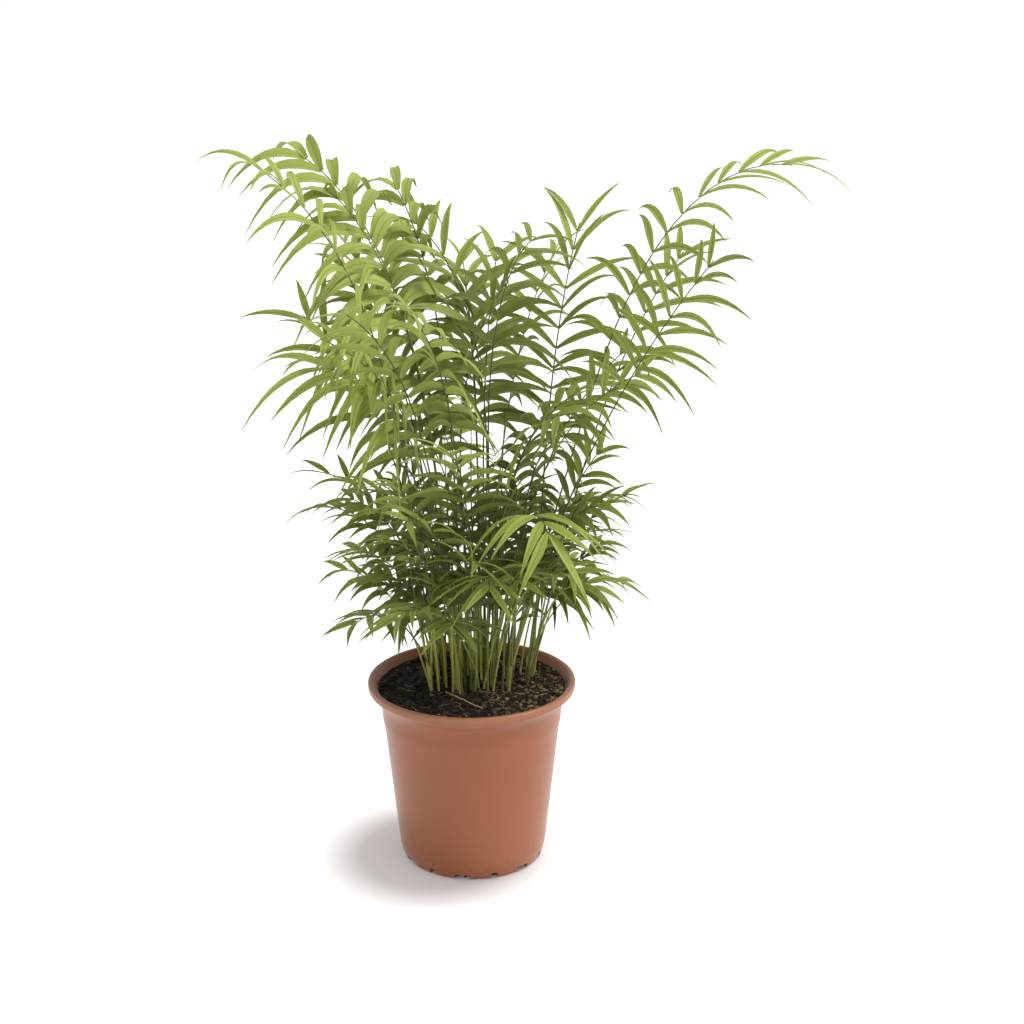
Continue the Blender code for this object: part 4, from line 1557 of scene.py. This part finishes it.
@dataclass
class PotMaker:
    """Makes the moulded pot: rolled lip, collar, tapered body and notched foot."""

    plastic: bpy.types.Material
    steps: int = 224
    floor_underside: float = 6 * MM
    floor_thickness: float = 2.5 * MM
    foot_width: float = 4 * MM
    pad_radius: float = 26 * MM
    drain_count: int = 6
    drain_radius: float = 4.5 * MM
    drain_ring: float = 40 * MM
    gate_angle: float = -78.0

    def build(self) -> None:
        """Builds the pot and dresses it."""
        mesh = bmesh.new()
        turned(mesh, rounded(self.profile()), self.steps)
        shell = finished("pot_shell", mesh, (self.plastic,), SHARP_POT)
        cutter = self.cutter()
        knife = shell.modifiers.new("foot notches and drains", "BOOLEAN")
        knife.operation = "DIFFERENCE"
        knife.solver = "EXACT"
        knife.object = cutter
        view = bpy.context.evaluated_depsgraph_get()
        cut_mesh = bpy.data.meshes.new_from_object(shell.evaluated_get(view))
        shell.modifiers.clear()
        shell.data = cut_mesh
        bpy.data.objects.remove(cutter)
        shell.data.set_sharp_from_angle(angle=math.radians(SHARP_POT))
        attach(shell, "root")
        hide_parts("pot")
        report(shell)

    def profile(self) -> list[tuple[float, float, float]]:
        """Corners of the turned profile, from the floor inside, over the lip, to the underside.

        Returns:
            Radius, height and fillet size of each corner.
        """
        floor_top = self.floor_underside + self.floor_thickness
        inside = COLLAR_RADIUS - WALL
        foot = BASE_RADIUS - 3 * MM
        return [
            (0.0, floor_top, 0.0),
            (BASE_RADIUS - WALL, floor_top, 2 * MM),
            (BODY_TOP_RADIUS - WALL, COLLAR_BOTTOM - 1 * MM, 2 * MM),
            (inside, COLLAR_BOTTOM + 3 * MM, 2 * MM),
            (inside, POT_HEIGHT - 22 * MM, 3 * MM),
            (RIM_RADIUS - 12 * MM, POT_HEIGHT - 14 * MM, 3 * MM),
            (RIM_RADIUS - 9 * MM, POT_HEIGHT - 8 * MM, 3 * MM),
            (RIM_RADIUS - 6 * MM, POT_HEIGHT - 3 * MM, 1.5 * MM),
            (RIM_RADIUS - 3.6 * MM, POT_HEIGHT, 1.4 * MM),
            (RIM_RADIUS, POT_HEIGHT, 2.2 * MM),
            (RIM_RADIUS, POT_HEIGHT - 6.4 * MM, 2.2 * MM),
            (RIM_RADIUS - 5.5 * MM, POT_HEIGHT - 9.8 * MM, 3.5 * MM),
            (RIM_RADIUS - 9.6 * MM, POT_HEIGHT - 16 * MM, 5 * MM),
            (COLLAR_RADIUS + 0.1 * MM, POT_HEIGHT - 25 * MM, 5 * MM),
            (COLLAR_RADIUS, COLLAR_BOTTOM + 4 * MM, 6 * MM),
            (BODY_TOP_RADIUS - 0.4 * MM, COLLAR_BOTTOM - 6 * MM, 6 * MM),
            (BASE_RADIUS + 0.7 * MM, 12 * MM, 5 * MM),
            (BASE_RADIUS - 0.7 * MM, 5 * MM, 3 * MM),
            (BASE_RADIUS - 2.2 * MM, 1 * MM, 1 * MM),
            (foot, 0.0, 1.6 * MM),
            (foot - self.foot_width, 0.0, 0.5 * MM),
            (foot - self.foot_width - 1 * MM, self.floor_underside, 0.5 * MM),
            (self.pad_radius + 1 * MM, self.floor_underside, 0.5 * MM),
            (self.pad_radius, 0.0, 0.5 * MM),
            (0.0, 0.0, 0.0),
        ]

    def cutter(self) -> bpy.types.Object:
        """Blocks between the feet, drills through the floor and the moulding mark on the lip.

        Returns:
            The cutting tool.
        """
        mesh = bmesh.new()
        for number in range(NOTCH_COUNT):
            degrees = FIRST_NOTCH + 360 * number / NOTCH_COUNT
            width, height = NOTCH_SIZES[number % len(NOTCH_SIZES)]
            block = Matrix.LocRotScale(heading(degrees) * (BASE_RADIUS - 5 * MM),
                                       Matrix.Rotation(math.radians(degrees), 3, "Z"),
                                       Vector((16 * MM, width, 2 * height)))
            verts = bmesh.ops.create_cube(mesh, size=1.0, matrix=block)["verts"]
            uprights = {edge for vert in verts for edge in vert.link_edges
                        if edge.verts[0].co.z > 0 and edge.verts[1].co.z > 0}
            bmesh.ops.bevel(mesh, geom=list(uprights), offset=0.9 * MM, segments=2, profile=0.5,
                            affect="EDGES", material=-1)
        for number in range(self.drain_count):
            where = heading(360 * (number + 0.5) / self.drain_count) * self.drain_ring
            where.z = self.floor_underside + self.floor_thickness / 2
            bmesh.ops.create_cone(mesh, cap_ends=True, segments=32, radius1=self.drain_radius,
                                  radius2=self.drain_radius, depth=12 * MM,
                                  matrix=Matrix.Translation(where))
        gate = heading(self.gate_angle) * (RIM_RADIUS + 0.6 * MM)
        gate.z = POT_HEIGHT - RIM_DEPTH + 0.4 * MM
        bmesh.ops.create_icosphere(mesh, subdivisions=2, radius=1.9 * MM,
                                   matrix=Matrix.Translation(gate))
        bmesh.ops.recalc_face_normals(mesh, faces=mesh.faces)
        return finished("pot cutter", mesh, (self.plastic,))


# ------------------------------------------------------------------ soil

@dataclass(frozen=True)
class Litter:
    """One kind of loose bit on the soil."""

    name: str
    count: int
    smallest: float
    largest: float
    flat: float
    long: float
    dry_side: float


CRUMBS = Litter("soil_crumbs", 2200, 0.45 * MM, 2.1 * MM, flat=0.7, long=1.2, dry_side=0.55)
BARK = Litter("bark_chips", 170, 0.9 * MM, 2.8 * MM, flat=0.35, long=1.9, dry_side=0.35)


@dataclass
class SoilMaker:
    """Makes the bed of soil with its crumbs, bark, fibres and one dry root."""

    soil: bpy.types.Material
    crumb: bpy.types.Material
    bark: bpy.types.Material
    fibre: bpy.types.Material
    steps: int = 200
    rows: int = 80
    fibre_count: int = 190
    edge: float = 75 * MM

    def height(self, x: float, y: float) -> float:
        """Height of the soil's surface at a place on the bed.

        Args:
            x: Place to the right.
            y: Place to the back.

        Returns:
            The height.
        """
        spot = Vector((x, y, 0.0))
        swell = noise.noise(spot * 22.0) * 1.6
        lump = noise.noise(spot * 75.0 + Vector((3, 1, 0))) * 1.5
        crumb = noise.noise(spot * 240.0) * 0.75
        radius = math.hypot(x, y)
        edge = max(0.0, radius - 66 * MM) / MM
        calm = 1 - 0.5 * min(1.0, edge / 8)
        return SOIL_TOP + ((swell + lump) * calm + crumb + 0.2 * edge) * MM

    def build(self) -> None:
        """Builds the bed and everything loose on it."""
        bed = self.build_bed()
        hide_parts("soil")
        chance = random.Random(77)
        pieces = [bed, self.scatter(CRUMBS, self.crumb, chance),
                  self.scatter(BARK, self.bark, chance),
                  self.build_fibres(chance), self.build_root(), self.build_notch_shade(chance)]
        for piece in pieces:
            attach(piece, "root")
            report(piece)

    def build_bed(self) -> bpy.types.Object:
        """Builds the bed of soil, lumpy on top.

        Returns:
            The piece.
        """
        bottom = 9 * MM
        wall = RIM_RADIUS - 8.6 * MM
        neck = COLLAR_RADIUS - WALL - 0.4 * MM
        top = [(wall * row / self.rows, SOIL_TOP) for row in range(self.rows + 1)]
        side = [(RIM_RADIUS - 12.6 * MM, POT_HEIGHT - 14 * MM), (neck, POT_HEIGHT - 22 * MM),
                (neck, COLLAR_BOTTOM + 3.2 * MM),
                (BODY_TOP_RADIUS - WALL - 0.8 * MM, COLLAR_BOTTOM - 1 * MM),
                (BASE_RADIUS - WALL - 0.5 * MM, bottom), (0.0, bottom)]
        mesh = bmesh.new()
        turned(mesh, top + side, self.steps)
        for vert in mesh.verts:
            if vert.co.z > SOIL_TOP - 0.1 * MM:
                vert.co.z = self.height(vert.co.x, vert.co.y)
        return finished("soil_bed", mesh, (self.soil,), SHARP_BED)

    def spot(self, chance: random.Random, dry_side: float) -> Vector:
        """A place on the bed, more often on the dry side.

        Args:
            chance: The source of chance.
            dry_side: How strongly the dry side is preferred, from 0 to 1.

        Returns:
            The place, on the soil's surface.
        """
        while True:
            radius = self.edge * math.sqrt(chance.random())
            where = heading(chance.uniform(0, 360)) * radius
            wanted = 1 - dry_side * (1 - clamped((where.x + 0.045) / 0.07))
            if chance.random() < wanted:
                where.z = self.height(where.x, where.y)
                return where

    def scatter(self, litter: Litter, paint: bpy.types.Material,
                chance: random.Random) -> bpy.types.Object:
        """Scatters angular bits over the bed, paler on the dry side.

        Args:
            litter: The kind of bit.
            paint: The bits' material.
            chance: The source of chance.

        Returns:
            The piece.
        """
        mesh = bmesh.new()
        mesh.verts.layers.float_color.new("tone")
        for _ in range(litter.count):
            spread = litter.largest - litter.smallest
            radius = litter.smallest + spread * chance.random() ** 2.2
            where = self.spot(chance, litter.dry_side)
            where.z += radius * 0.25
            turn = Matrix.Rotation(chance.uniform(0, math.tau), 3, "Z") @ Matrix.Rotation(
                chance.uniform(-0.5, 0.5), 3, "X")
            scale = Vector((radius * litter.long, radius, radius * litter.flat))
            bit = Matrix.LocRotScale(where, turn, scale)
            dryness = clamped((where.x + 0.03) / 0.06)
            self.add_bit(mesh, bit, chance.random() * (0.2 + 0.95 * dryness), chance)
        return finished(litter.name, mesh, (paint,), SHARP_BIT)

    @staticmethod
    def add_bit(mesh: BMesh, bit: Matrix, tone: float, chance: random.Random) -> None:
        """Adds one angular bit.

        Args:
            mesh: The mesh that it's added to.
            bit: Its place, turn and size.
            tone: Its tone, from 0 for dark to 1 for pale.
            chance: The source of chance.
        """
        note = mesh.verts.layers.float_color["tone"]
        radius = bit.to_scale().y
        verts = bmesh.ops.create_icosphere(mesh, subdivisions=1, radius=1.0, matrix=bit)["verts"]
        for vert in verts:
            jolt = Vector((chance.uniform(-1, 1), chance.uniform(-1, 1), chance.uniform(-1, 1)))
            vert.co += jolt * radius * 0.28
            vert[note] = (tone, tone, tone, 1.0)

    def build_notch_shade(self, chance: random.Random) -> bpy.types.Object:
        """Builds dark bits behind the gaps between the pot's feet, as painted shade in the notches.

        Args:
            chance: The source of chance.

        Returns:
            The piece.
        """
        mesh = bmesh.new()
        mesh.verts.layers.float_color.new("tone")
        for number in range(NOTCH_COUNT):
            degrees = FIRST_NOTCH + 360 * number / NOTCH_COUNT
            way = heading(degrees)
            side = heading(degrees + 90)
            width, height = NOTCH_SIZES[number % len(NOTCH_SIZES)]
            for _ in range(round(width / MM * 4)):
                radius = chance.uniform(0.7, 1.5) * MM
                where = way * (BASE_RADIUS - chance.uniform(5.0, 8.5) * MM)
                where += side * chance.uniform(-0.5, 0.5) * width
                where.z = chance.uniform(radius * 1.05, height * 0.9)
                turn = Matrix.Rotation(chance.uniform(0, math.tau), 3, "Z")
                scale = Vector((radius * 1.2, radius, radius * 0.7))
                # Darkest tone, for painted shade in the notch.
                self.add_bit(mesh, Matrix.LocRotScale(where, turn, scale), 0.0, chance)
        return finished("washed_out_soil", mesh, (self.crumb,), SHARP_BIT)

    def build_fibres(self, chance: random.Random) -> bpy.types.Object:
        """Builds the thin pale fibres.

        Args:
            chance: The source of chance.

        Returns:
            The piece.
        """
        mesh = bmesh.new()
        note = mesh.verts.layers.float_color.new("tone")
        for _ in range(self.fibre_count):
            where = self.spot(chance, 0.75)
            way = heading(chance.uniform(0, 360))
            bend = heading(chance.uniform(0, 360))
            length = chance.uniform(3, 11) * MM
            lift = chance.uniform(0.6, 1.8) * MM
            line = []
            for step in range(5):
                share = step / 4
                point = where + way * length * (share - 0.5)
                point += bend * length * 0.25 * math.sin(math.pi * share)
                reach = math.hypot(point.x, point.y)
                if reach > self.edge:
                    point *= self.edge / reach
                point.z = self.height(point.x, point.y) + lift
                line.append(point)
            thin = chance.uniform(0.12, 0.26) * MM
            verts = sweep(mesh, rings_along(line, (thin * 0.6, thin, thin, thin, thin * 0.5)), 4)
            tone = chance.random()
            for vert in verts:
                vert[note] = (tone, tone, tone, 1.0)
        bmesh.ops.recalc_face_normals(mesh, faces=mesh.faces)
        return finished("soil_fibres", mesh, (self.fibre,), SHARP_STRAND)

    def build_root(self) -> bpy.types.Object:
        """Builds the straw-coloured root that lies over the soil at the front.

        Returns:
            The piece.
        """
        mesh = bmesh.new()
        note = mesh.verts.layers.float_color.new("tone")
        corners = [Vector((-0.021, -0.010, 0)), Vector((-0.014, -0.030, 0)),
                   Vector((-0.002, -0.043, 0)), Vector((0.010, -0.049, 0))]
        line = []
        radii = []
        for step in range(17):
            share = step / 16
            first = corners[0].lerp(corners[1], share).lerp(corners[1].lerp(corners[2], share),
                                                            share)
            second = corners[1].lerp(corners[2], share).lerp(corners[2].lerp(corners[3], share),
                                                             share)
            point = first.lerp(second, share)
            point.z = self.height(point.x, point.y) + 1.6 * MM + 2.2 * MM * math.sin(
                math.pi * share)
            line.append(point)
            radii.append(0.55 * MM * (1 - 0.35 * share))
        for vert in sweep(mesh, rings_along(line, radii), 8):
            vert[note] = (0.95, 0.95, 0.95, 1.0)
        bmesh.ops.recalc_face_normals(mesh, faces=mesh.faces)
        return finished("dry_root", mesh, (self.fibre,), SHARP_STRAND)


# ------------------------------------------------------------------ studio

@dataclass
class Studio:
    """Camera, lights, world and floor."""

    camera_place: tuple[float, float, float] = (0.033, -1.2, 0.643)
    camera_pitch: float = 16.2
    lens: float = 55.2
    key_strength: float = 2.4
    key_softness: float = 22.0
    key_from: tuple[float, float] = (72.0, 50.0)
    top_strength: float = 2.3
    top_softness: float = 20.0
    top_from: tuple[float, float] = (110.0, 77.0)
    dome_low: Colour = (0.74, 0.74, 0.745)
    dome_high: Colour = (0.64, 0.64, 0.64)
    dome_band: tuple[float, float] = (-0.1, 0.9)
    floor_half_width: float = 40.0

    def build(self) -> None:
        """Sets the camera, then the floor, world and lights."""
        self.set_camera()
        self.lay_floor()
        self.set_world()
        self.set_lights()
        scene = bpy.context.scene
        scene.view_settings.view_transform = "Standard"
        scene.view_settings.look = "None"

    def set_camera(self) -> None:
        """Points the camera a little down at the plant."""
        data = bpy.data.cameras.new("camera")
        data.lens = self.lens
        data.sensor_width = 36.0
        data.clip_start = 0.05
        data.clip_end = 200.0
        camera = bpy.data.objects.new("camera", data)
        camera.location = self.camera_place
        camera.rotation_euler = (math.radians(90 - self.camera_pitch), 0.0, 0.0)
        bpy.context.scene.collection.objects.link(camera)
        bpy.context.scene.camera = camera

    def lay_floor(self) -> None:
        """Lays a wide plain floor."""
        mesh = bmesh.new()
        bmesh.ops.create_grid(mesh, x_segments=8, y_segments=8, size=self.floor_half_width)
        floor = finished("studio_floor", mesh, (FloorFinish().paint(),))

    def set_world(self) -> None:
        """White to look at, and a soft dome for light that is brighter low down than overhead."""
        sky = Sky("studio")
        place = sky.wire(sky.node("ShaderNodeTexCoord"), "Generated")
        height = sky.wire(sky.node("ShaderNodeSeparateXYZ", None, {0: place}), "Z")
        low, high = self.dome_band
        rise = sky.wire(sky.node("ShaderNodeMapRange", None, {
            "Value": height, "From Min": low, "From Max": high}))
        tint = sky.mix(rise, self.dome_low, self.dome_high)
        dome = sky.wire(sky.node("ShaderNodeBackground", None, {"Color": tint}))
        white = sky.wire(sky.node("ShaderNodeBackground", None, {"Color": WHITE}))
        seen = sky.wire(sky.node("ShaderNodeLightPath"), "Is Camera Ray")
        both = sky.wire(sky.node("ShaderNodeMixShader", None, {0: seen, 1: dome, 2: white}))
        sky.node("ShaderNodeOutputWorld", None, {"Surface": both})
        bpy.context.scene.world = sky.world

    def set_lights(self) -> None:
        """Hangs a soft key light on the right for the plant, and a high one for the floor."""
        shown = [thing for thing in bpy.data.objects if thing.type == "MESH"]
        floor = [thing for thing in shown if thing.name == "studio_floor"]
        plant = [thing for thing in shown if thing not in floor]
        pot = [thing for thing in plant if thing.name == "pot_shell"]
        self.hang("key", self.key_strength, self.key_softness, self.key_from, plant, None)
        self.hang("top", self.top_strength, self.top_softness, self.top_from, floor, pot)

    @staticmethod
    def hang(name: str, strength: float, softness: float, aim: tuple[float, float],
             lit: Sequence[bpy.types.Object], shading: Sequence[bpy.types.Object] | None) -> None:
        """Hangs one distant soft light.

        Args:
            name: The light's name.
            strength: How bright it is.
            softness: The angle that it fills, in degrees.
            aim: Its heading and its height above the horizon, in degrees.
            lit: What it lights.
            shading: What throws its shadow, or None for everything.
        """
        data = bpy.data.lights.new(name, "SUN")
        data.energy = strength
        data.angle = math.radians(softness)
        light = bpy.data.objects.new(name, data)
        turn, height = aim
        light.rotation_euler = (math.radians(90 - height), 0.0, math.radians(turn))
        bpy.context.scene.collection.objects.link(light)
        receivers = bpy.data.collections.new(f"lit by {name}")
        for thing in lit:
            receivers.objects.link(thing)
        light.light_linking.receiver_collection = receivers
        if shading is not None:
            blockers = bpy.data.collections.new(f"in front of {name}")
            for thing in shading:
                blockers.objects.link(thing)
            light.light_linking.blocker_collection = blockers


def main() -> None:
    """Builds the palm round its frame, piece by piece."""
    logging.basicConfig(level=logging.INFO, format="%(name)s: %(message)s", stream=sys.stdout)
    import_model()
    leaf = LeafFinish().paint()
    stem = StemFinish().paint()
    plant = Plant()
    plant.grow()
    PotMaker(PlasticFinish().paint()).build()
    SoilMaker(
        SoilFinish().paint(),
        ChipFinish("peat crumbs", (0.006, 0.004, 0.003), (0.035, 0.022, 0.011),
                   (0.22, 0.145, 0.065)).paint(),
        ChipFinish("bark", (0.02, 0.010, 0.005), (0.085, 0.045, 0.022),
                   (0.26, 0.17, 0.09)).paint(),
        ChipFinish("dry fibre", (0.12, 0.075, 0.035), (0.34, 0.25, 0.12),
                   (0.60, 0.48, 0.27), 0.7).paint(),
    ).build()
    StemMaker(plant, stem).build()
    leaves = LeafMaker(plant, leaf, stem)
    leaves.build()
    ShootMaker(leaves).build()
    Studio().build()


if __name__ == "__main__":
    main()
